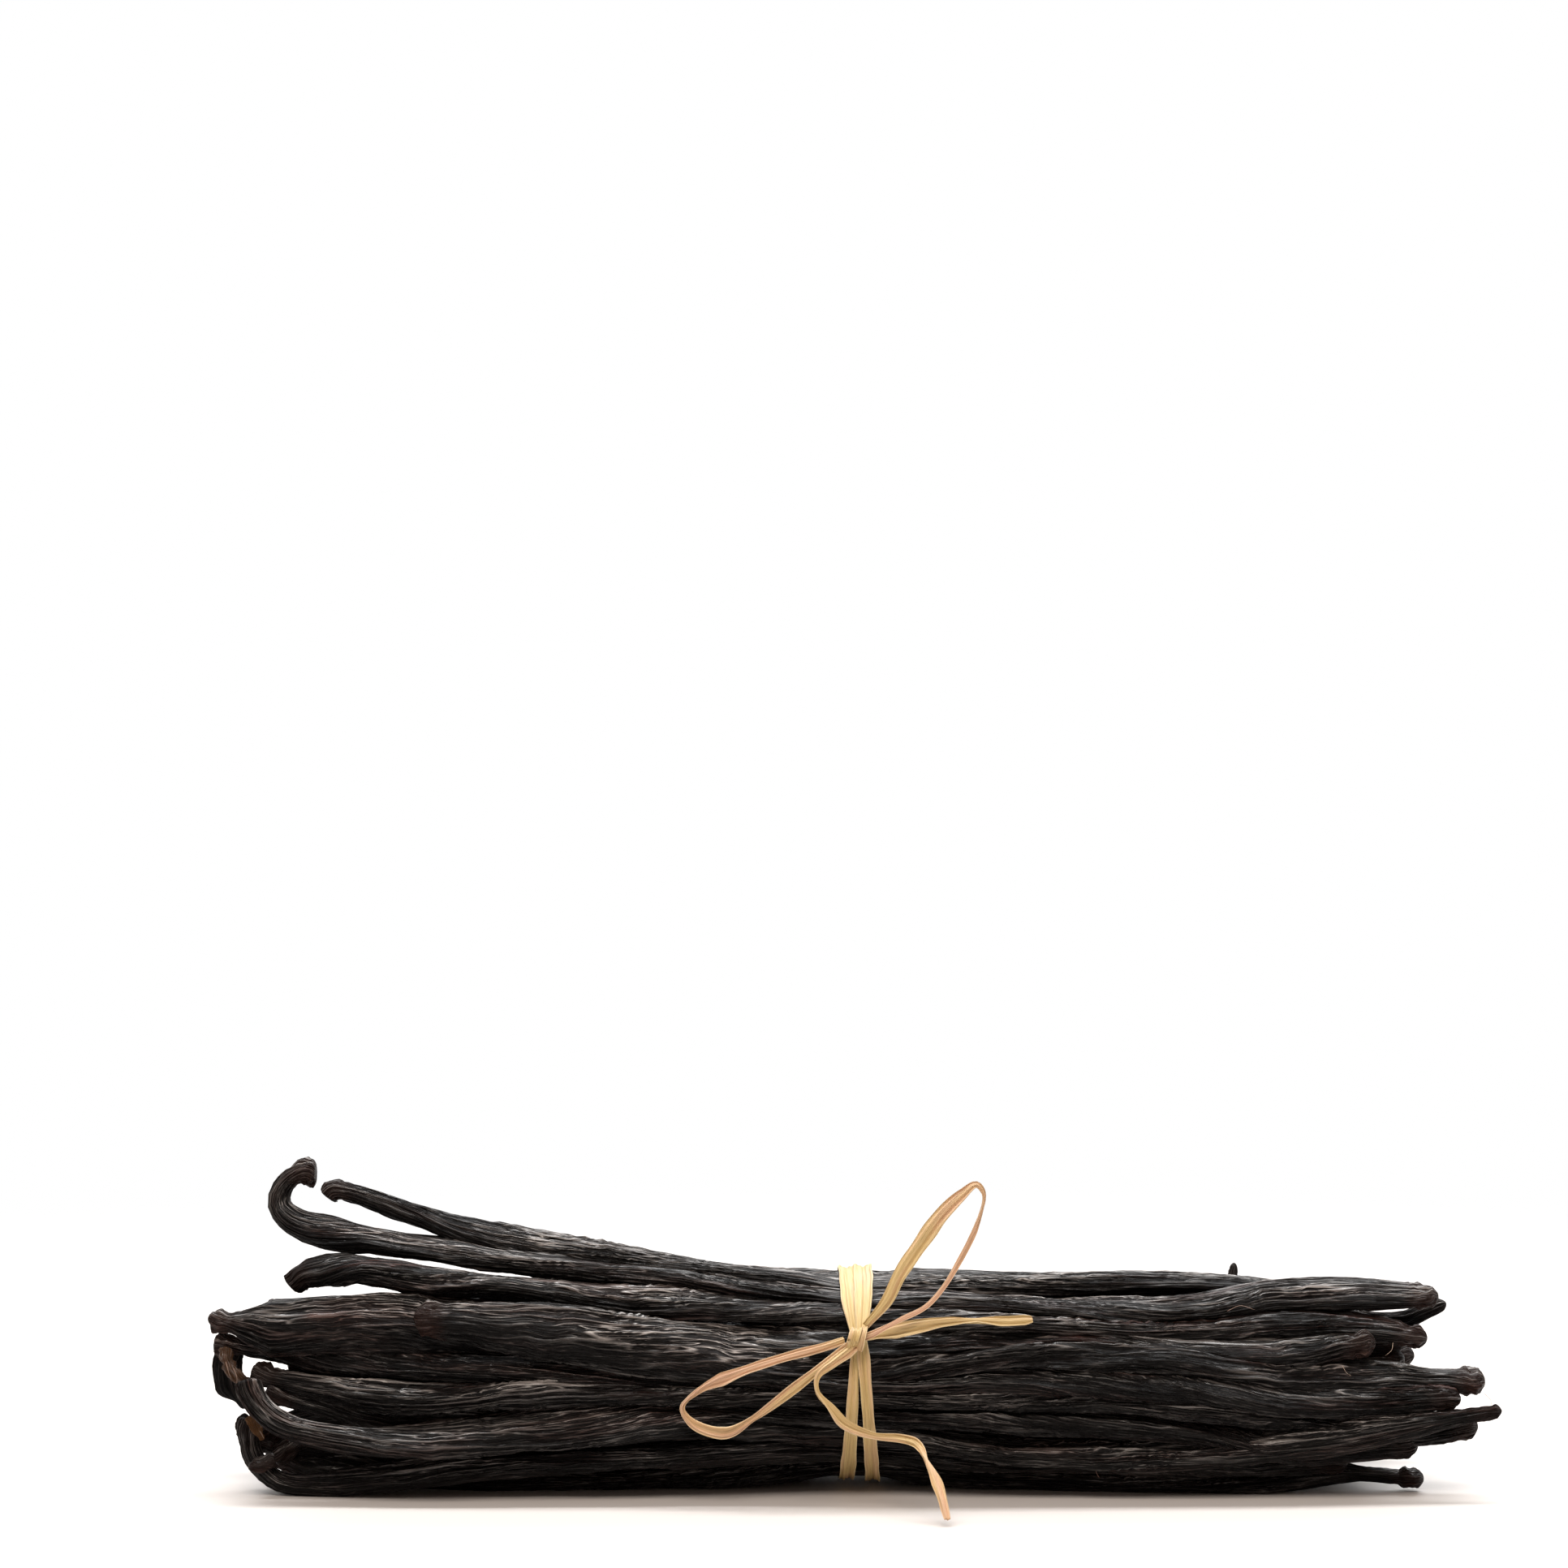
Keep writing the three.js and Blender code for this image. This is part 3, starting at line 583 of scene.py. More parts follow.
def pod_facts(pod, along, length):
    """What each place on a pod's middle line has to say about the skin round it."""
    to_end = length - along
    from_stem = end_width(along, pod["body"], *pod["stem_end"])
    from_blossom = end_width(to_end, pod["body"], *pod["blossom_end"])
    stem_rounding = pod.get("stem_rounding", STEM_ROUNDING * pod["stem_end"][0])
    blossom_rounding = BLOSSOM_ROUNDING * pod["blossom_end"][0]
    rounding = np.minimum(1, np.minimum(along / stem_rounding, to_end / blossom_rounding))
    width = np.minimum(from_stem, from_blossom) * np.sqrt(rounding)
    first, last = LUMPS_FADE
    at_stem = (1 - smooth((along - first) / (last - first))) * pod["lumps"][0]
    at_blossom = (1 - smooth((to_end - first) / (last - first))) * pod["lumps"][1]
    return dict(
        along=along, length=length, to_end=to_end, width=np.maximum(width, LEAST_WIDTH),
        depth=pod["depth"], turn=-np.radians(np.interp(along, *zip(*pod["turns"]))),
        knobby=at_stem + at_blossom, dry=pod["dry"], red=pod["red"], ribs=pod["ribs"],
        hollow=pod.get("hollow", COMMON_HOLLOW), torn=pod.get("torn", 0), twist=pod["twist"],
        pod=pod["number"],
    )


def pod_lines(name, pods, ring_step):
    """A mesh of the pods' middle lines, with what each place on them needs to become skin."""
    points, edges, facts = [], [], {}
    for strip, pod in enumerate(pods):
        length = length_of(pod["line"])
        near_ends = np.array([ring for ring in END_RINGS if ring < length * END_SHARE])
        between = np.arange(near_ends[-1] + ring_step, length - near_ends[-1] - ring_step / 2, ring_step)
        places = np.concatenate([near_ends, between, length - near_ends[:0:-1]])
        start = len(points)
        points += (spaced_out(pod["line"], places) * MM).tolist()
        edges += [(i, i + 1) for i in range(start, len(points) - 1)]
        along = np.append(places, length)
        for fact, value in dict(pod_facts(pod, along, length), strip=strip).items():
            facts.setdefault(fact, []).append(np.broadcast_to(value, along.shape))
    mesh = bpy.data.meshes.new(name)
    mesh.from_pydata(points, edges, [])
    for fact, values in facts.items():
        made = mesh.attributes.new(fact, "FLOAT", "POINT")
        made.data.foreach_set("value", np.concatenate(values).astype(np.float32))
    return mesh


# Wrinkles on a pod's skin: how many lie in a millimetre round it, and how many times as long they
# are as wide
WRINKLES = {"scale": 1.15, "stretch": 22.0}
CREASES = {"scale": 2.3, "stretch": 21.0, "detail": 1.0}
FOLDS = {"scale": 0.26, "stretch": 11.0, "sharpness": 5.0}
GRAIN_RADIUS = 3.0
RIB_PAIRS = 6.5


def pod_skin_tree():
    """Geometry Nodes that make a wrinkled pod along each line."""
    tree = bpy.data.node_groups.new("pod_skin", "GeometryNodeTree")
    tree.interface.new_socket("Geometry", in_out="OUTPUT", socket_type="NodeSocketGeometry")
    tree.interface.new_socket("Geometry", in_out="INPUT", socket_type="NodeSocketGeometry")
    sizes = {
        "Sides": 144, "Fold depth": 0.65, "Wrinkle depth": 0.52, "Crease depth": 0.2, "Rib depth": 0.38,
        "Lump depth": 1.0, "Pinch": 1.0, "Seed": 3.0,
    }
    for name, size in sizes.items():
        kind = "NodeSocketInt" if isinstance(size, int) else "NodeSocketFloat"
        tree.interface.new_socket(name, in_out="INPUT", socket_type=kind).default_value = size
    tree.interface.new_socket("Skin", in_out="INPUT", socket_type="NodeSocketMaterial")
    given = tree.nodes.new("NodeGroupInput")
    result = tree.nodes.new("NodeGroupOutput")
    draw = Wire(tree)

    def size(name):
        return Wire(tree, given.outputs[name])

    def fact(name, kind="FLOAT"):
        return draw.node("GeometryNodeInputNamedAttribute", {"data_type": kind}, {"Name": name})

    def keep(geometry, name, value, kind="FLOAT"):
        return draw.node(
            "GeometryNodeStoreNamedAttribute", {"data_type": kind, "domain": "POINT"},
            {"Geometry": geometry, "Name": name, "Value": value},
        )

    # A ring is carried along each line
    lines = draw.node("GeometryNodeMeshToCurve", None, {0: size("Geometry")})
    lines = keep(lines, "centre", draw.node("GeometryNodeInputPosition"), "FLOAT_VECTOR")
    lines = keep(lines, "heading", draw.node("GeometryNodeInputTangent"), "FLOAT_VECTOR")
    ring = draw.node("GeometryNodeCurvePrimitiveCircle", None, {"Resolution": size("Sides"), "Radius": MM})
    ring = keep(ring, "around", draw.node("GeometryNodeSplineParameter"))
    carried = {"Curve": lines, "Profile Curve": ring, "Fill Caps": True}
    tube = draw.node("GeometryNodeCurveToMesh", None, carried)

    # The section in mm, a little fuller or thinner from place to place
    along, width = fact("along"), fact("width")
    seed = fact("pod") * 17.3 + size("Seed")
    swell = draw.joined(along / 17, seed, 0.0).noise(1.0)
    flatness = draw.joined(along / 13, seed, 7.0).noise(1.0)
    uneven = draw.joined(along / 3, seed, 19.0).noise(1.0)
    half_width = width / 2 * (0.85 + swell * 0.28) * (0.94 + uneven * 0.12)
    half_depth = half_width.least(fact("depth") / 2 * (0.72 + flatness * 0.5))
    angle = fact("around") * (2 * math.pi)
    cosine, sine = angle.math("COSINE", angle), angle.math("SINE", angle)
    away = draw.joined(half_depth * cosine, half_width * sine, 0.0)
    away = away.vector("NORMALIZE")

    # Long wrinkles run round the pod a little, and waver, as they go along it
    drift = draw.joined(along / 32, seed, 3.0).noise(1.0) * 1.6
    waver = draw.joined(along / 4.5, seed, 11.0).noise(1.0, 1.0) * 0.32
    spiral = angle + along / fact("length") * fact("twist") * (2 * math.pi) + drift + waver
    grain = draw.joined(
        spiral.math("COSINE", spiral) * GRAIN_RADIUS + seed,
        spiral.math("SINE", spiral) * GRAIN_RADIUS,
        along + seed * 3,
    )
    slack = grain.vector("MULTIPLY", (0.16, 0.16, 0.05)).noise(1.0, 1.0).ramp(0.36, 0.6)
    folds = grain.crests(**FOLDS)
    wrinkles = grain.crests(**WRINKLES)
    creases = grain.crests(**CREASES)
    ribs = abs(draw.math("SINE", spiral * RIB_PAIRS))
    ribbed = fact("ribs") * (1 - width.ramp(3.6, 7.5) * 0.65)
    knobby = fact("knobby")
    lumps = draw.joined(half_width * sine, half_depth * cosine, along + seed).noise(0.75, 1.0) - 0.5
    height = (
        (folds - 0.35) * size("Fold depth") * width.ramp(2.0, 8.0)
        + (wrinkles - 0.3) * size("Wrinkle depth") * (0.3 + slack * 0.7) * (1 - ribbed * 0.75)
        + (creases - 0.3) * size("Crease depth") * (0.4 + slack * 0.6)
        + (ribs - 0.6) * size("Rib depth") * ribbed
    ) * (width / 6).least(1.0) ** 0.6 * (1 - knobby * 0.4)
    fading = (along + 0.2).ramp(0.0, 1.0) * (fact("to_end") + 0.2).ramp(0.0, 1.2)
    height = (height + lumps * size("Lump depth") * knobby * 2) * fading

    # Put together round the line, turned, with a hollow in the cut stem end
    heading = fact("heading", "FLOAT_VECTOR")
    across = draw.joined(0.0, 1.0, 0.0)
    side = across.vector("SUBTRACT", heading.scaled(heading.vector("DOT_PRODUCT", across, output=1)))
    side = side.vector("NORMALIZE")
    down = side.vector("CROSS_PRODUCT", heading)
    x = half_width * cosine + away.part(0) * height
    y = half_depth * sine + away.part(1) * height
    turn = fact("turn")
    c, s = turn.math("COSINE", turn), turn.math("SINE", turn)
    sunk = (1 - along.ramp(0.0, 0.45)) * fact("hollow")
    offset = side.scaled((x * c - y * s) * MM)
    offset = offset.vector("ADD", down.scaled((x * s + y * c) * MM))
    upward = offset.vector("NORMALIZE").part(2)
    offset = offset.vector("ADD", heading.scaled(sunk * MM))
    place = offset.vector("ADD", fact("centre", "FLOAT_VECTOR"))

    # The tie pinches the pods into its oval, and the floor presses the lowest ones flat
    px, py, pz = place.part(0), place.part(1), place.part(2)
    oy = py / (OVAL_HALF_DEPTH * MM)
    oz = (pz - OVAL_MIDDLE * MM) / (OVAL_HALF_HEIGHT * MM)
    reach = (oy * oy + oz * oz) ** 0.5
    hold = (1 - abs(px - TIE_X * MM).ramp(1.6 * MM, 9 * MM)) * size("Pinch")
    pull = 1 - hold * (1 - 1 / reach.most(1.0))
    pz = (pz - OVAL_MIDDLE * MM) * pull + OVAL_MIDDLE * MM
    place = draw.joined(px, py * pull, pz.most(0.0))

    skin = keep(tube, "upward", upward)
    skin = draw.node("GeometryNodeSetPosition", None, {"Geometry": skin, "Position": place})
    skin = keep(skin, "grain", grain, "FLOAT_VECTOR")
    skin = keep(skin, "folded", folds)
    skin = draw.node("GeometryNodeSetShadeSmooth", None, {"Geometry": skin})
    skin = draw.node("GeometryNodeRealizeInstances", None, {"Geometry": skin})
    skin = draw.node("GeometryNodeSetMaterial", None, {"Geometry": skin, "Material": size("Skin")})
    tree.links.new(skin.socket, result.inputs[0])
    return tree


# Oily skin, nearly black with painted shade in the valleys and on the undersides, a grey on crests
# that is partly dry bloom and partly painted highlight, and reddish stretches and knobs
VALLEY_SHADE = (0.0014, 0.0011, 0.0012, 1)
SKIN = (0.0068, 0.0051, 0.0046, 1)
BLOOM_AND_HIGHLIGHT = (0.29, 0.262, 0.245, 1)
RUSSET = (0.13, 0.042, 0.028, 1)
KNOB_BROWN = (0.048, 0.02, 0.014, 1)
INSIDE = (0.17, 0.08, 0.03, 1)

pod_skin, draw, surface = material("pod_skin")
grain = draw.kept("grain")
folded, along, dry, red, knobby, hollow, upward = (
    draw.kept(name, 2) for name in ("folded", "along", "dry", "red", "knobby", "hollow", "upward")
)
# How far a place faces up. It paints light and shade: more bloom and russet on the upper sides,
# darker undersides, and more coat on top
upper = upward.ramp(-0.35, 0.65)
wrinkles = grain.crests(**WRINKLES)
creases = grain.crests(**CREASES)
fine = grain.crests(4.2, 17.0, sharpness=7.0, detail=1.0)
speckle = grain.vector("MULTIPLY", (1.0, 1.0, 0.6)).noise(5.0, 2.0)
patches = grain.vector("MULTIPLY", (0.22, 0.22, 0.055)).noise(1.0, 2.0)
other_patches = grain.vector("MULTIPLY", (0.3, 0.3, 0.04)).noise(1.3, 1.0)
tops = wrinkles.most(creases * 0.9).most(fine * 0.65).ramp(0.46, 0.96)
# Grey on crests: dry bloom in patches, and painted highlight that is brightest on the upper sides
bloom_and_highlight = tops * patches.ramp(0.36, 0.62) * (0.02 + dry * 0.56) * (0.3 + folded * 0.7 + speckle)
bloom_and_highlight = bloom_and_highlight * (0.3 + upper * 1.35)
# Reddish stretches of the skin itself, painted stronger on the upper sides as light falls there
russet_and_top_light = (tops * 0.7 + 0.05) * other_patches.ramp(0.46, 0.64) * red * (0.35 + upper * 0.5)
raised = (wrinkles * 0.6 + creases * 0.4 + 0.15).ramp(0.05, 0.75)
# Painted shade: the valleys between crests and the undersides go towards the near-black valley colour
base = draw.mixed(raised * (0.3 + upper * 0.7), VALLEY_SHADE, SKIN)
base = draw.mixed(knobby.least(1.0) * (0.1 + speckle * 0.4 + tops * 0.4), base, KNOB_BROWN)
base = draw.mixed(russet_and_top_light.least(0.85), base, RUSSET)
base = draw.mixed(bloom_and_highlight.least(0.9), base, BLOOM_AND_HIGHLIGHT)
cut_open = (1 - along.ramp(0.32, 0.5)) * hollow.ramp(COMMON_HOLLOW, 2.0)
inside = cut_open.most(draw.kept("torn", 2) * (0.35 + speckle))
feed(surface, base_color=draw.mixed(inside.least(1.0), base, INSIDE))
surface.inputs["Specular IOR Level"].default_value = 0.12
surface.inputs["Coat Roughness"].default_value = 0.2
feed(surface, coat_weight=tops * (0.3 + patches.ramp(0.3, 0.6) * 0.7) * (0.25 + upper * 0.75))
feed(surface, roughness=0.42 - tops * 0.16 + speckle * 0.08 + knobby * 0.04)
feed(surface, normal=(wrinkles * 0.5 + creases * 0.6 + fine * 0.5 + speckle * 0.25).bumped(0.9, 0.0003))


def grown(name, pods, ring_step, sides):
    tree = bpy.data.node_groups.get("pod_skin") or pod_skin_tree()
    lines = placed(name, pod_lines(name, pods, ring_step))
    modifier = lines.modifiers.new("pods", "NODES")
    modifier.node_group = tree
    named = {item.name: item.identifier for item in tree.interface.items_tree if item.in_out == "INPUT"}
    modifier[named["Sides"]] = sides
    modifier[named["Skin"]] = pod_skin
    seen = lines.evaluated_get(bpy.context.evaluated_depsgraph_get())
    mesh = bpy.data.meshes.new_from_object(seen)
    bpy.data.objects.remove(lines)
    mesh.name = name
    mend_facing(mesh)
    map_skins(mesh)
    piece = placed(name, mesh)
    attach(piece, "root")
    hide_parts("pod_bundle")


# The edge left free along each skin's strip of the map, as a share of the strip
STRIP_EDGE = 0.02


def map_skins(mesh):
    """A map on which each pod's skin is a strip of its own, opened along one edge."""
    read = {}
    for fact in ("around", "along", "length", "strip"):
        values = np.zeros(len(mesh.vertices), np.float32)
        mesh.attributes[fact].data.foreach_get("value", values)
        read[fact] = values
    corners = np.zeros(len(mesh.loops), np.int32)
    mesh.loops.foreach_get("vertex_index", corners)
    starts = np.zeros(len(mesh.polygons), np.int32)
    sizes = np.zeros(len(mesh.polygons), np.int32)
    mesh.polygons.foreach_get("loop_start", starts)
    mesh.polygons.foreach_get("loop_total", sizes)
    around = read["around"][corners]
    face = np.repeat(np.arange(len(sizes)), sizes)
    crossing = np.maximum.reduceat(around, starts) - np.minimum.reduceat(around, starts) > 0.5
    around = np.where(crossing[face] & (around < 0.5), around + 1, around)
    around = np.where(sizes[face] > 4, 0.5, around)
    count = read["strip"].max() + 1
    u = MAP_EDGE + (1 - 2 * MAP_EDGE) * (read["along"] / read["length"])[corners]
    v = (read["strip"][corners] + STRIP_EDGE + (1 - 2 * STRIP_EDGE) * around) / count
    for old in list(mesh.uv_layers):
        mesh.uv_layers.remove(old)
    put_map(mesh, np.stack([u, v], axis=1))


for number, pod in enumerate(near_pods):
    pod["number"] = number
    in_tie = (TIE_X, -oval_half_depth(pod["height"]) + NEAR_INSET, pod["height"])
    pod["line"] = path_through([*pod["stem"], in_tie, *pod["blossom"]], LINE_STEP)

NEAR_SIDES = 144
NEAR_RING_STEP = 1.3
grown("pods_upper", near_pods[:4], NEAR_RING_STEP, NEAR_SIDES)
grown("pods_middle", near_pods[4:8], NEAR_RING_STEP, NEAR_SIDES)
grown("pods_lower", near_pods[8:], NEAR_RING_STEP, NEAR_SIDES)

# ---------------------------------------------------------------- Pods behind
# The rest of the bundle: two dozen like pods in rows behind the near ones, fanning out a little
# from the tie, each with its own length, hook and lie. Those that don't show reach further out, so
# that the bundle's two ends are full.

# Rows of pods, from the lowest up, between the near pods and the far side of the tie
ROW_HEIGHT = 3.6
FIRST_ROW = 3
ROWS = 8
ROW_SPACING = 8
NEAR_DEPTH = 7.5
# How far the two ends reach from the middle, and how much further at the heights where most do
STEM_REACH = (70, 84)
BLOSSOM_REACH = (60, 76)
INNER_STEM_REACH = (81, 88)
INNER_BLOSSOM_REACH = (77, 82)
STEM_FURTHER = 9
BLOSSOM_FURTHER = 12
FURTHEST_STEM_HEIGHT = 21
FURTHEST_BLOSSOM_HEIGHT = 15
FURTHER_SPREAD = 7
# How much the pods fan out from the tie, midway along them and at their ends, and how unevenly
MIDWAY = 35
STEM_MIDWAY_FAN = 1.08
STEM_FAN = 1.25
BLOSSOM_MIDWAY_FAN = 1.04
BLOSSOM_FAN = 1.12
WANDER = 0.5
SCATTER = 2.2
# The highest an end lies, the hook of a stem end, how far a pod sags midway, and the lowest it lies
HIGHEST_END = 22.5
HOOK_LENGTH = 7
HOOK_DROP = 3.5
SAG = 1.5
LYING = 1.5
BACK_BODY = 8
BACK_TURN = 20
FIRST_BACK_NUMBER = 20
OUTER_RING_STEP = 1.5
OUTER_SIDES = 96
INNER_RING_STEP = 2.2
INNER_SIDES = 48


def draws_of(pod):
    """A pod's own run of numbers between -1 and 1, the same each time."""
    draws = 0
    while True:
        draws += 1
        wave = math.sin(pod * 12.9898 + draws * 78.233) * 43758.5453
        yield 2 * (wave - math.floor(wave)) - 1


def back_pod(number, y, z, shows):
    draw = draws_of(number)

    def between(low, high):
        return low + (high - low) * (next(draw) + 1) / 2

    def nearness(height):
        return math.exp(-(((z - height) / FURTHER_SPREAD) ** 2))

    def end_at(x, fan):
        across = y * fan + SCATTER * next(draw)
        up = z * math.sqrt(fan) + SCATTER * next(draw)
        return (x, across, min(max(up, LYING), HIGHEST_END))

    if shows:
        reach_stem = between(*STEM_REACH) + STEM_FURTHER * nearness(FURTHEST_STEM_HEIGHT)
        reach_blossom = between(*BLOSSOM_REACH) + BLOSSOM_FURTHER * nearness(FURTHEST_BLOSSOM_HEIGHT)
    else:
        reach_stem = between(*INNER_STEM_REACH)
        reach_blossom = between(*INNER_BLOSSOM_REACH)
    stem_end = end_at(-reach_stem + HOOK_LENGTH, STEM_FAN)
    hook_across = stem_end[1] + next(draw)
    hook_height = min(max(stem_end[2] + HOOK_DROP * next(draw), LYING), HIGHEST_END)
    hook = (-reach_stem, hook_across, hook_height)
    low = max(LYING, z - SAG)
    points = [
        hook, stem_end, (-MIDWAY, y * STEM_MIDWAY_FAN + WANDER * next(draw), low), (TIE_X, y, z),
        (MIDWAY, y * BLOSSOM_MIDWAY_FAN + WANDER * next(draw), low), end_at(reach_blossom, BLOSSOM_FAN),
    ]
    turn = -BACK_TURN * next(draw)
    knob = 3.4 + 0.5 * next(draw)
    dry = 0.5 + 0.3 * next(draw)
    return dict(
        number=number + FIRST_BACK_NUMBER, line=path_through(points, LINE_STEP),
        body=BACK_BODY, depth=3.9, stem_end=(knob, 2.6, 4, 22), blossom_end=(4.4, 4.2, 2, 17),
        turns=[(0, turn), (1, turn)], dry=dry, red=0.3 + 0.2 * next(draw), ribs=0.3, lumps=(1, 0.6),
        twist=next(draw),
    )


outer, inner = [], []
for row in range(ROWS):
    height = FIRST_ROW + row * ROW_HEIGHT
    far = oval_half_depth(height) - BACK_BODY / 2
    near = -oval_half_depth(height) + NEAR_DEPTH + BACK_BODY / 2
    count = max(1, math.floor((far - near) / ROW_SPACING + 0.5) + 1)
    for i in range(count):
        y = far if count == 1 else near + (far - near) * i / (count - 1)
        shows = i == count - 1 or row >= ROWS - 2
        pod = back_pod(len(outer) + len(inner) + 1, y, height, shows)
        (outer if shows else inner).append(pod)

half = len(outer) // 2
grown("pods_back_lower", outer[:half], OUTER_RING_STEP, OUTER_SIDES)
grown("pods_back_upper", outer[half:], OUTER_RING_STEP, OUTER_SIDES)
grown("pods_inner", inner, INNER_RING_STEP, INNER_SIDES)

# ---------------------------------------------------------------- Ends between the pods
# Short pieces that stick out between the pods: a leaf-like stub, a reddish broken piece, a torn
# flap, knobs and dark tips, and the ends of pods that are hidden further in.

SHORT_LINE_STEP = 0.3
SHORT_RING_STEP = 0.8
SHORT_SIDES = 56
FIRST_SHORT_NUMBER = 60


def short_end(points, body, depth, **own):
    """A short length of pod, plain apart from what is its own."""
    plain = dict(
        stem_end=(body, body, 0, 1), blossom_end=(body * 0.6, body * 0.6, 0.3, 3), turns=[(0, 0), (1, 0)],
        dry=0.4, red=0.2, ribs=0.3, lumps=(0.4, 0.4), twist=0.1,
    )
    return dict(plain, line=path_through(points, SHORT_LINE_STEP), body=body, depth=depth, **own)


short_ends = [
    # Smooth leaf-like stub that bends down and thins to a stick
    short_end([(-90.4, -6.6, 21), (-91, -7.1, 18.6), (-90.8, -7.4, 15.8), (-89.6, -7.6, 13.4),
               (-88.2, -7.8, 11.9)], 4.2, 1.6,
              blossom_end=(0.9, 0.9, 1.6, 2.4), dry=1.0, lumps=(0, 0), turns=[(0, 85), (12, 85)]),
    # Reddish broken piece that a pod end leans on
    short_end([(-91, -9.3, 20.9), (-90.2, -11, 18.9), (-88.7, -12.2, 17.1), (-86.9, -11.4, 16.2)], 2.4, 1.8,
              red=1.0, torn=0.4, lumps=(1, 1)),
    # Dark turned-up end behind the open one
    short_end([(-84, -7, 6), (-87.4, -7.5, 7), (-88.6, -7.7, 9), (-88.3, -7.8, 11.2)], 2.8, 2.0,
              turns=[(0, 40), (9, 40)]),
    # Torn flap of the open one's inside
    short_end([(-87.4, -10.8, 11.6), (-86.6, -11.4, 10.4), (-85.8, -11.8, 9), (-85, -11.6, 8)], 1.8, 0.7,
              torn=1, turns=[(0, 80), (6, 60)], lumps=(0.3, 0.3)),
    # Knob in the bend of the open one
    short_end([(-83, -12.5, 5.4), (-85, -13.2, 4.9), (-87, -13.4, 4.1)], 2.2, 2.0,
              blossom_end=(2.8, 2.2, 1, 1), lumps=(0, 1)),
    # Upright dark tip behind the top pod
    short_end([(56, 6, 25), (57.3, 6.5, 28.6), (57.8, 6.6, 31.3)], 2.6, 1.6,
              blossom_end=(0.9, 0.9, 0.2, 4), dry=1.0, red=0),
    # Stub on the lowest pod's neck
    short_end([(62, -8.5, 4.6), (68, -9.5, 4.2), (72.2, -9.8, 3.9)], 3.0, 2.6, blossom_end=(2.4, 2.4, 1, 3)),
]
# Ends of hidden pods, which show between the near ones or fill the middle of the bundle's two ends
HIDDEN_END = dict(depth=5.0, stem_end=(3.6, 3.0, 2, 5), turns=[(0, 70), (1, 70)], lumps=(1, 0), dry=0.2)
for points, body in (
    ([(-87, -4, 21.6), (-83, -3, 21.6), (-68, -3, 21), (-50, -4, 20)], 6.0),
    ([(-83, -4, 18.4), (-78, -3, 18.2), (-66, -3, 17.5), (-50, -4, 17)], 6.5),
    ([(-85.5, -4, 15), (-80, -3, 14.6), (-68, -3, 13.8), (-50, -4, 13)], 6.0),
    ([(-76, -3, 11), (-70, -3, 10.8), (-60, -3, 10.5), (-50, -4, 10)], 6.5),
    ([(-86.4, -4, 8.2), (-82, -4, 7.2), (-74, -4, 6.9), (-50, -4, 7)], 6.5),
    ([(-85.8, -3, 4.2), (-81, -3, 3.6), (-68, -3, 3.4), (-50, -4, 4)], 6.6),
    ([(82, -2, 21.2), (76, -2, 21), (66, -2, 20.6), (48, -3, 20)], 7.0),
    ([(80.5, 2.5, 16.4), (75, 2, 16.2), (65, 1, 15.8), (48, 0, 15)], 7.0),
    ([(-82, 12, 13), (-77, 12, 13.2), (-66, 11.5, 13), (-50, 11, 12.5)], 7.0),
    ([(-78.5, 2.5, 7.8), (-74, 2.5, 8), (-65, 2.5, 8), (-50, 2.5, 8)], 6.5),
):
    short_ends.append(short_end(points, body, **HIDDEN_END))
for number, pod in enumerate(short_ends):
    pod["number"] = FIRST_SHORT_NUMBER + number
grown("pod_ends_between", short_ends, SHORT_RING_STEP, SHORT_SIDES)

# ---------------------------------------------------------------- Core
# The imported middle of the bundle, which no gap shows clearly: a dark spindle coloured between the
# skins' painted valley shade and their dark skin, well inside the pods and thickest where the tie
# holds them.

# Places along the bundle in mm, and how much of the tie's oval the core fills there
CORE_SHARES = [(-56, 0.02), (-46, 0.36), (-25, 0.56), (TIE_X, 0.68), (30, 0.56), (46, 0.36), (56, 0.02)]
CORE_MIDDLE = 15
CORE_RINGS = 60
CORE_SIDES = 24
core_x = np.linspace(CORE_SHARES[0][0], CORE_SHARES[-1][0], CORE_RINGS)[:, None]
core_share = np.interp(core_x, *zip(*CORE_SHARES))
core_angle = np.linspace(0, 2 * math.pi, CORE_SIDES, endpoint=False)[None]
core_rings = stacked(
    core_x,
    core_share * OVAL_HALF_DEPTH * np.cos(core_angle),
    CORE_MIDDLE + core_share * OVAL_HALF_HEIGHT * np.sin(core_angle),
)
core_mesh = mesh_of("core", core_rings, tube_faces(CORE_RINGS, CORE_SIDES))
mend_facing(core_mesh)
core = placed("core", core_mesh)
core_dark, draw, surface = material("core_dark")
spots = draw.node("ShaderNodeTexCoord", None, None, 3).noise(900.0)
feed(surface, base_color=draw.mixed(spots, VALLEY_SHADE, SKIN))
surface.inputs["Roughness"].default_value = 0.8
core_mesh.materials.append(core_dark)
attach(core, "root")
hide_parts("pod_bundle")

# ---------------------------------------------------------------- Turns of raffia and knot
# The strip goes twice round the pods and pulls them together. Its turns cover each other on top,
# fold together in the knot, and part again below it.

WRAP_GAP = 0.35
WRAP_TOP = OVAL_MIDDLE + OVAL_HALF_HEIGHT
WRAP_PLEATS = 0.65
FLOOR_GAP = 0.2
ROUND_STEPS = 420


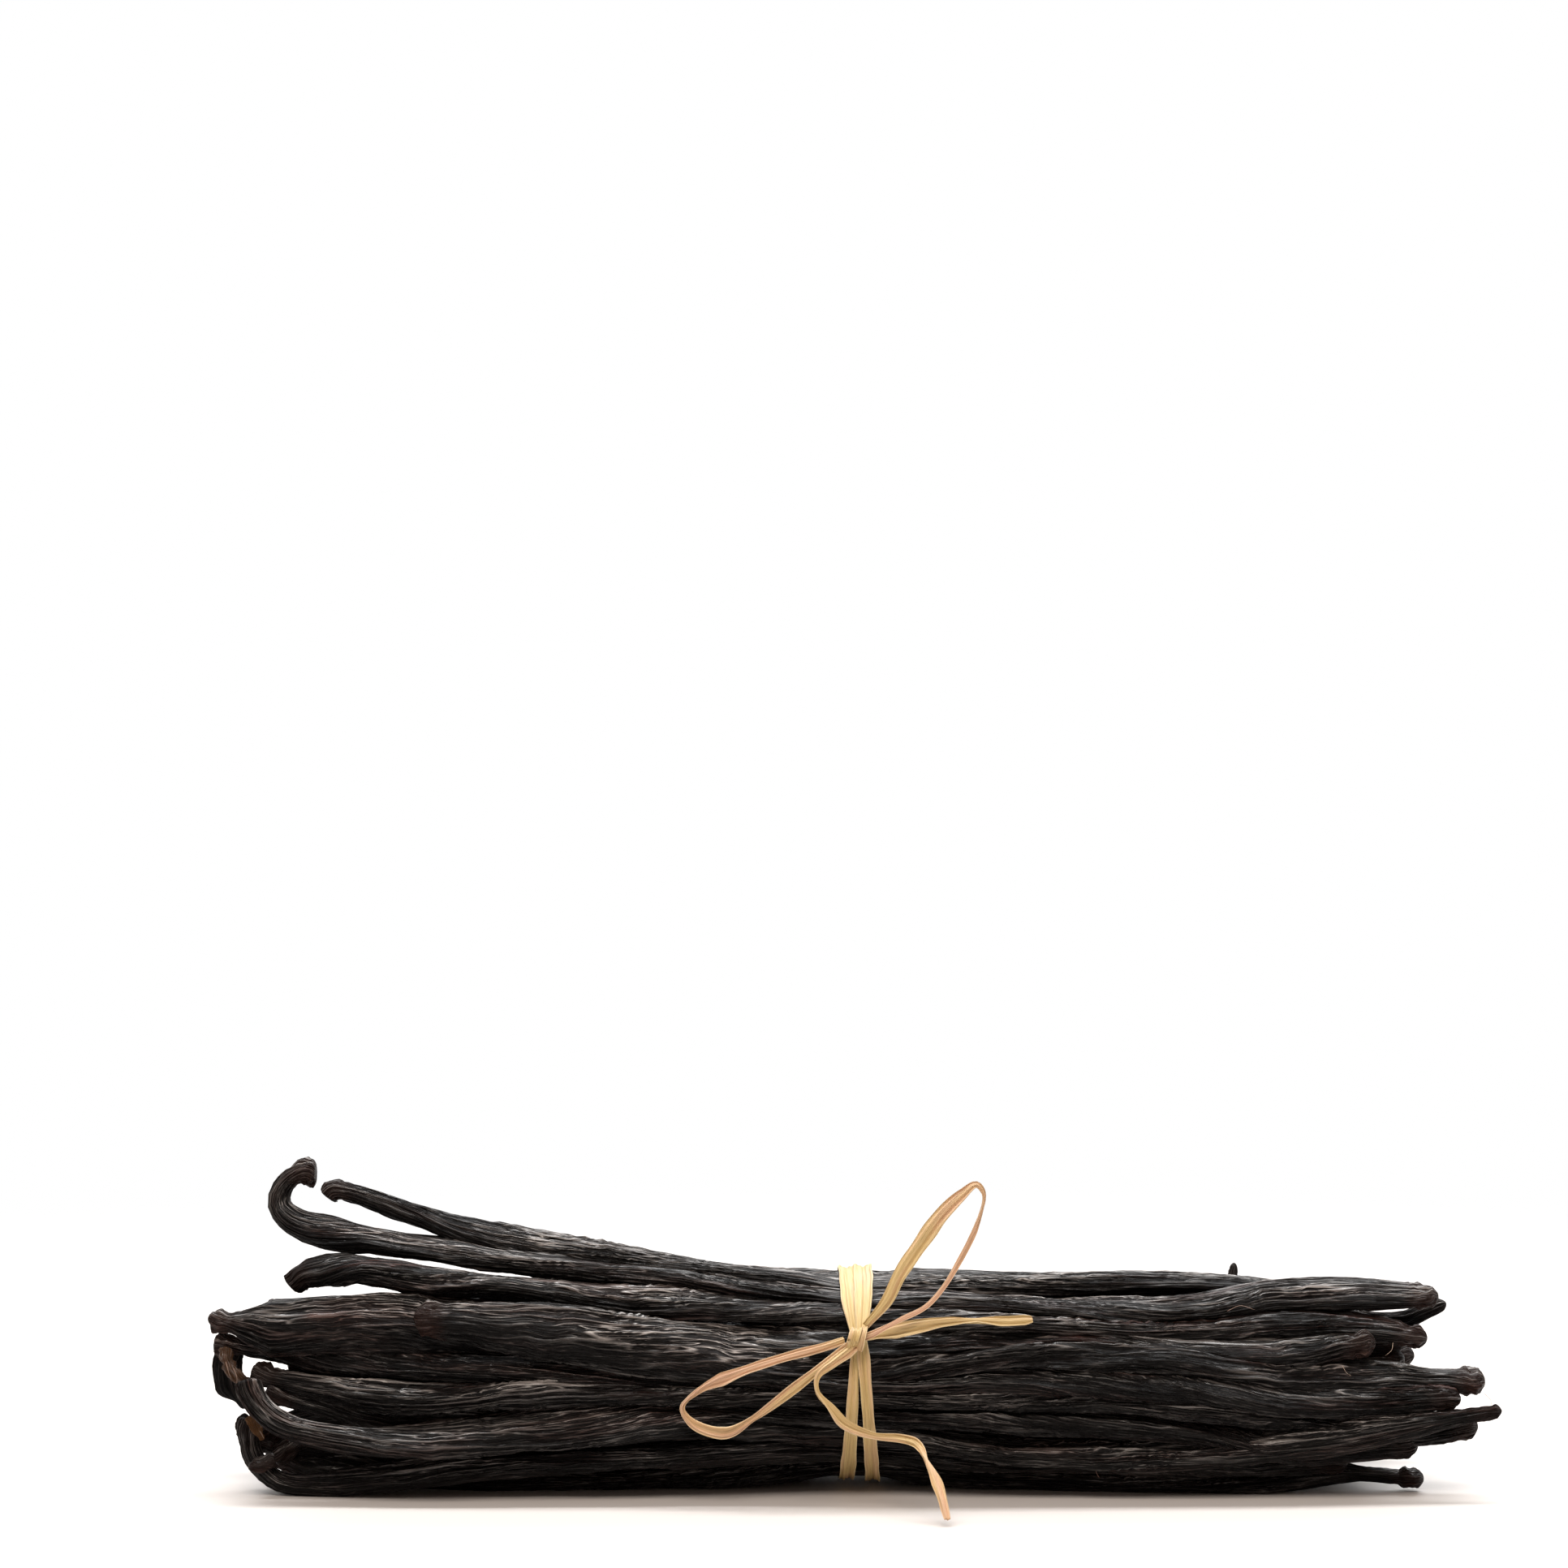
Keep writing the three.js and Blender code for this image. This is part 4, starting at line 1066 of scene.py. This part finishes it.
def wrap(name, at_top, at_knot, at_floor, lift, below_knot, seed, node):
    """A turn round the oval, from its top over the near side, by its X at three heights, its lift
    off the pods and its two widths below the knot."""
    angle = np.linspace(0, 2 * math.pi, ROUND_STEPS, endpoint=False)
    z = OVAL_MIDDLE + (OVAL_HALF_HEIGHT + WRAP_GAP + lift) * np.cos(angle)
    y = -(OVAL_HALF_DEPTH + WRAP_GAP + lift) * np.sin(angle)
    z = np.maximum(z, FLOOR_GAP + lift * 0.5)
    front = np.interp(z, [0, KNOT[2], WRAP_TOP], [at_floor, at_knot, at_top])
    behind = np.interp(z, [0, WRAP_TOP], [at_floor, at_top])
    line = stacked(np.where(y < 0, front, behind), y, z)
    facing = stacked(0.0, -np.sin(angle), np.cos(angle))
    widths = [(0, 2.7), (0.12, 2.6), (0.165, 1.3), (0.2, below_knot[0]), (0.3, below_knot[1]),
              (0.4, 2.2), (0.7, 2.2), (1, 2.7)]
    plain = [(0, 0), (1, 0)]
    piece = leaf(name, line, widths, plain, facing, plain, WRAP_PLEATS, closed=True, seed=seed)
    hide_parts(node)


wrap("raffia_turn_left", -0.3, 0.6, -0.6, 0.0, (1.2, 1.9), 3, "raffia_wrap_left")
wrap("raffia_turn_right", 2.0, 1.5, 3.4, 0.2, (1.8, 1.7), 4, "raffia_wrap_right")

KNOT_RADIUS = 1.45
KNOT_FLATNESS = 0.95
KNOT_TURNS = 1.6
KNOT_SHIFT = 0.3
KNOT_SPREAD = 1.1
KNOT_SWAY = 0.35
KNOT_POINTS = 90
spin = np.linspace(0, KNOT_TURNS * 2 * math.pi, KNOT_POINTS)
knot_line = stacked(
    KNOT[0] - KNOT_SHIFT + KNOT_SPREAD * (spin / spin[-1] - 0.5) + KNOT_SWAY * np.sin(spin),
    KNOT[1] - KNOT_SHIFT - KNOT_RADIUS * np.cos(spin),
    KNOT[2] + KNOT_RADIUS * KNOT_FLATNESS * np.sin(spin),
)
knot_out = stacked(0.0, -np.cos(spin), np.sin(spin))
knot = leaf(
    "raffia_knot_fold", knot_line, widths=[(0, 1.5), (0.5, 2.5), (1, 1.5)], turns=[(0, 0), (1, 20)],
    facing=knot_out, blush=[(0, 0), (1, 0.1)], seed=5,
)
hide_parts("raffia_knot")

# ---------------------------------------------------------------- Loose fibres
# Thin hairs of pod skin and raffia that stick up where the skins are torn. Each is a curved strand
# with one end in a pod, and thins towards its tip.

FIBRE_SIDES = 5
FIBRE_STEP = 0.25
FIBRE_TAPER = [(0, 1), (0.15, 1), (0.8, 0.7), (1, 0.25)]
FIBRE_SIDEWAYS = (0.3, 1.0, 0.2)
FIBRE_BLOND = (0.72, 0.60, 0.45, 1)
# Each by the places along it in mm, its thickness, and how pale it is
fibres_at = [
    ([(54.6, -11.4, 26.6), (56.4, -12.2, 27.5), (58.5, -12.2, 26.9)], 0.07, 0.2),
    ([(78.2, -13.9, 22.4), (77.9, -14.5, 21.4), (77, -14.4, 20.6)], 0.06, 0.5),
    ([(91.2, -14.8, 15.2), (92, -15.4, 14.4), (92.1, -15.2, 13.4)], 0.09, 0.5),
    ([(70.4, -17.3, 19.6), (70.9, -17.8, 18.7), (71.6, -17.6, 18.2)], 0.05, 0.5),
    ([(35.5, -15.2, 5.2), (35.2, -15.9, 4.2), (35.7, -15.8, 3.2)], 0.1, 0.1),
    ([(-90.4, -12.4, 19.4), (-89.9, -13, 18), (-89.6, -12.6, 17)], 0.1, 0.25),
    ([(-89.2, -13.2, 18.6), (-88.6, -13.8, 17.4), (-88.7, -13.4, 16.2)], 0.1, 0.2),
    ([(-86.2, -11.4, 9.8), (-85.4, -12.2, 9.2), (-84.9, -12.2, 8.2)], 0.12, 0.3),
]
hair_angle = (np.arange(FIBRE_SIDES) * 2 * math.pi / FIBRE_SIDES)[:, None]
hair_rings, hair_faces, hair_facts = [], [], []
for points, thick, pale in fibres_at:
    line = path_through(points, FIBRE_STEP)
    heading = unit(np.gradient(line, axis=0))
    side = square_to(FIBRE_SIDEWAYS, heading)
    up = np.cross(heading, side)
    away = side[:, None] * np.cos(hair_angle) + up[:, None] * np.sin(hair_angle)
    taper = np.interp(np.linspace(0, 1, len(line)), *zip(*FIBRE_TAPER))[:, None, None]
    start = sum(len(rings) for rings in hair_rings) * FIBRE_SIDES
    hair_faces += tube_faces(len(line), FIBRE_SIDES, start)
    hair_rings.append(line[:, None] + away * thick / 2 * taper)
    along = np.arange(len(line))[:, None] * FIBRE_STEP
    hair_facts.append(stacked(pale, along, np.zeros(FIBRE_SIDES)))
hair_mesh = mesh_of("loose_fibres", np.vstack(hair_rings), hair_faces)
store(hair_mesh, "hair", np.vstack(hair_facts))
mend_facing(hair_mesh)
hairs = placed("loose_fibres", hair_mesh)
hair_paint, draw, surface = material("loose_fibre")
facts = draw.kept("hair")
banding = draw.joined(0.0, 0.0, facts.part(1)).noise(1.5, 1.0)
pale_share = (facts.part(0) * (0.7 + banding * 0.6)).least(1.0)
feed(surface, base_color=draw.mixed(pale_share, RUSSET, FIBRE_BLOND))
surface.inputs["Roughness"].default_value = 0.5
hair_mesh.materials.append(hair_paint)
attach(hairs, "root")

# ---------------------------------------------------------------- Floor and light
# A pale matt floor that fades into a white surround. Two soft lights above and behind make the
# crests shine, a warmer one in front fills in, and the dim room keeps the near sides dark.

FLOOR_REACH = 900
FLOOR_FADES = (0.14, 0.4)
FLOOR_COLOUR = (0.64, 0.61, 0.59, 1)
floor_corners = np.array([(-1, -1, 0), (1, -1, 0), (1, 1, 0), (-1, 1, 0)]) * FLOOR_REACH
floor_mesh = mesh_of("floor", floor_corners, [(0, 1, 2, 3)])
floor = placed("floor", floor_mesh)
floor_paint, draw, surface = material("floor_paint")
place = draw.node("ShaderNodeTexCoord", None, None, 3)
from_middle = place.vector("LENGTH", output=1)
feed(surface, alpha=1 - from_middle.ramp(*FLOOR_FADES))
surface.inputs["Base Color"].default_value = FLOOR_COLOUR
surface.inputs["Roughness"].default_value = 0.6
floor_mesh.materials.append(floor_paint)

LIGHTS_AIM = Vector((0, 0, 0.01))


def softbox(name, place, size, power, colour=(1, 1, 1)):
    """A rectangle of light, in metres and watts, turned to the middle of the bundle."""
    made = bpy.data.lights.new(name, "AREA")
    made.shape = "RECTANGLE"
    made.size, made.size_y = size
    made.energy = power
    made.color = colour
    lamp = placed(name, made)
    lamp.location = place
    lamp.rotation_euler = (LIGHTS_AIM - Vector(place)).to_track_quat("-Z", "Y").to_euler()


softbox("light_above", (0, 0.07, 0.55), (0.8, 0.12), 4.4)
softbox("light_behind", (0.02, 0.42, 0.42), (0.9, 0.3), 3.5)
softbox("light_front", (0, -0.46, 0.62), (0.6, 0.3), 3.8, (1.0, 0.88, 0.78))

DIM = 0.3
BRIGHT = 0.5
WARM = (1.0, 0.78, 0.66, 1)
WHITE = (1.0, 1.0, 1.0, 1)
world = bpy.data.worlds.new("world")
world.use_nodes = True
draw = Wire(world.node_tree)
way = draw.node("ShaderNodeTexCoord")
lit_share = (way.part(1) * 0.8 + way.part(2) * 0.7).ramp(-0.5, 0.6)
tint = draw.mixed(lit_share, WARM, WHITE)
brightness = DIM + lit_share * (BRIGHT - DIM)
room = draw.node("ShaderNodeBackground", None, {"Color": tint, "Strength": brightness})
backdrop = draw.node("ShaderNodeBackground", None, {"Color": WHITE, "Strength": 1.0})
seen_directly = draw.node("ShaderNodeLightPath")
shown = draw.node("ShaderNodeMixShader", None, {0: seen_directly, 1: room, 2: backdrop})
world.node_tree.links.new(shown.socket, world.node_tree.nodes["World Output"].inputs["Surface"])
bpy.context.scene.world = world
bpy.context.scene.view_settings.view_transform = "Standard"
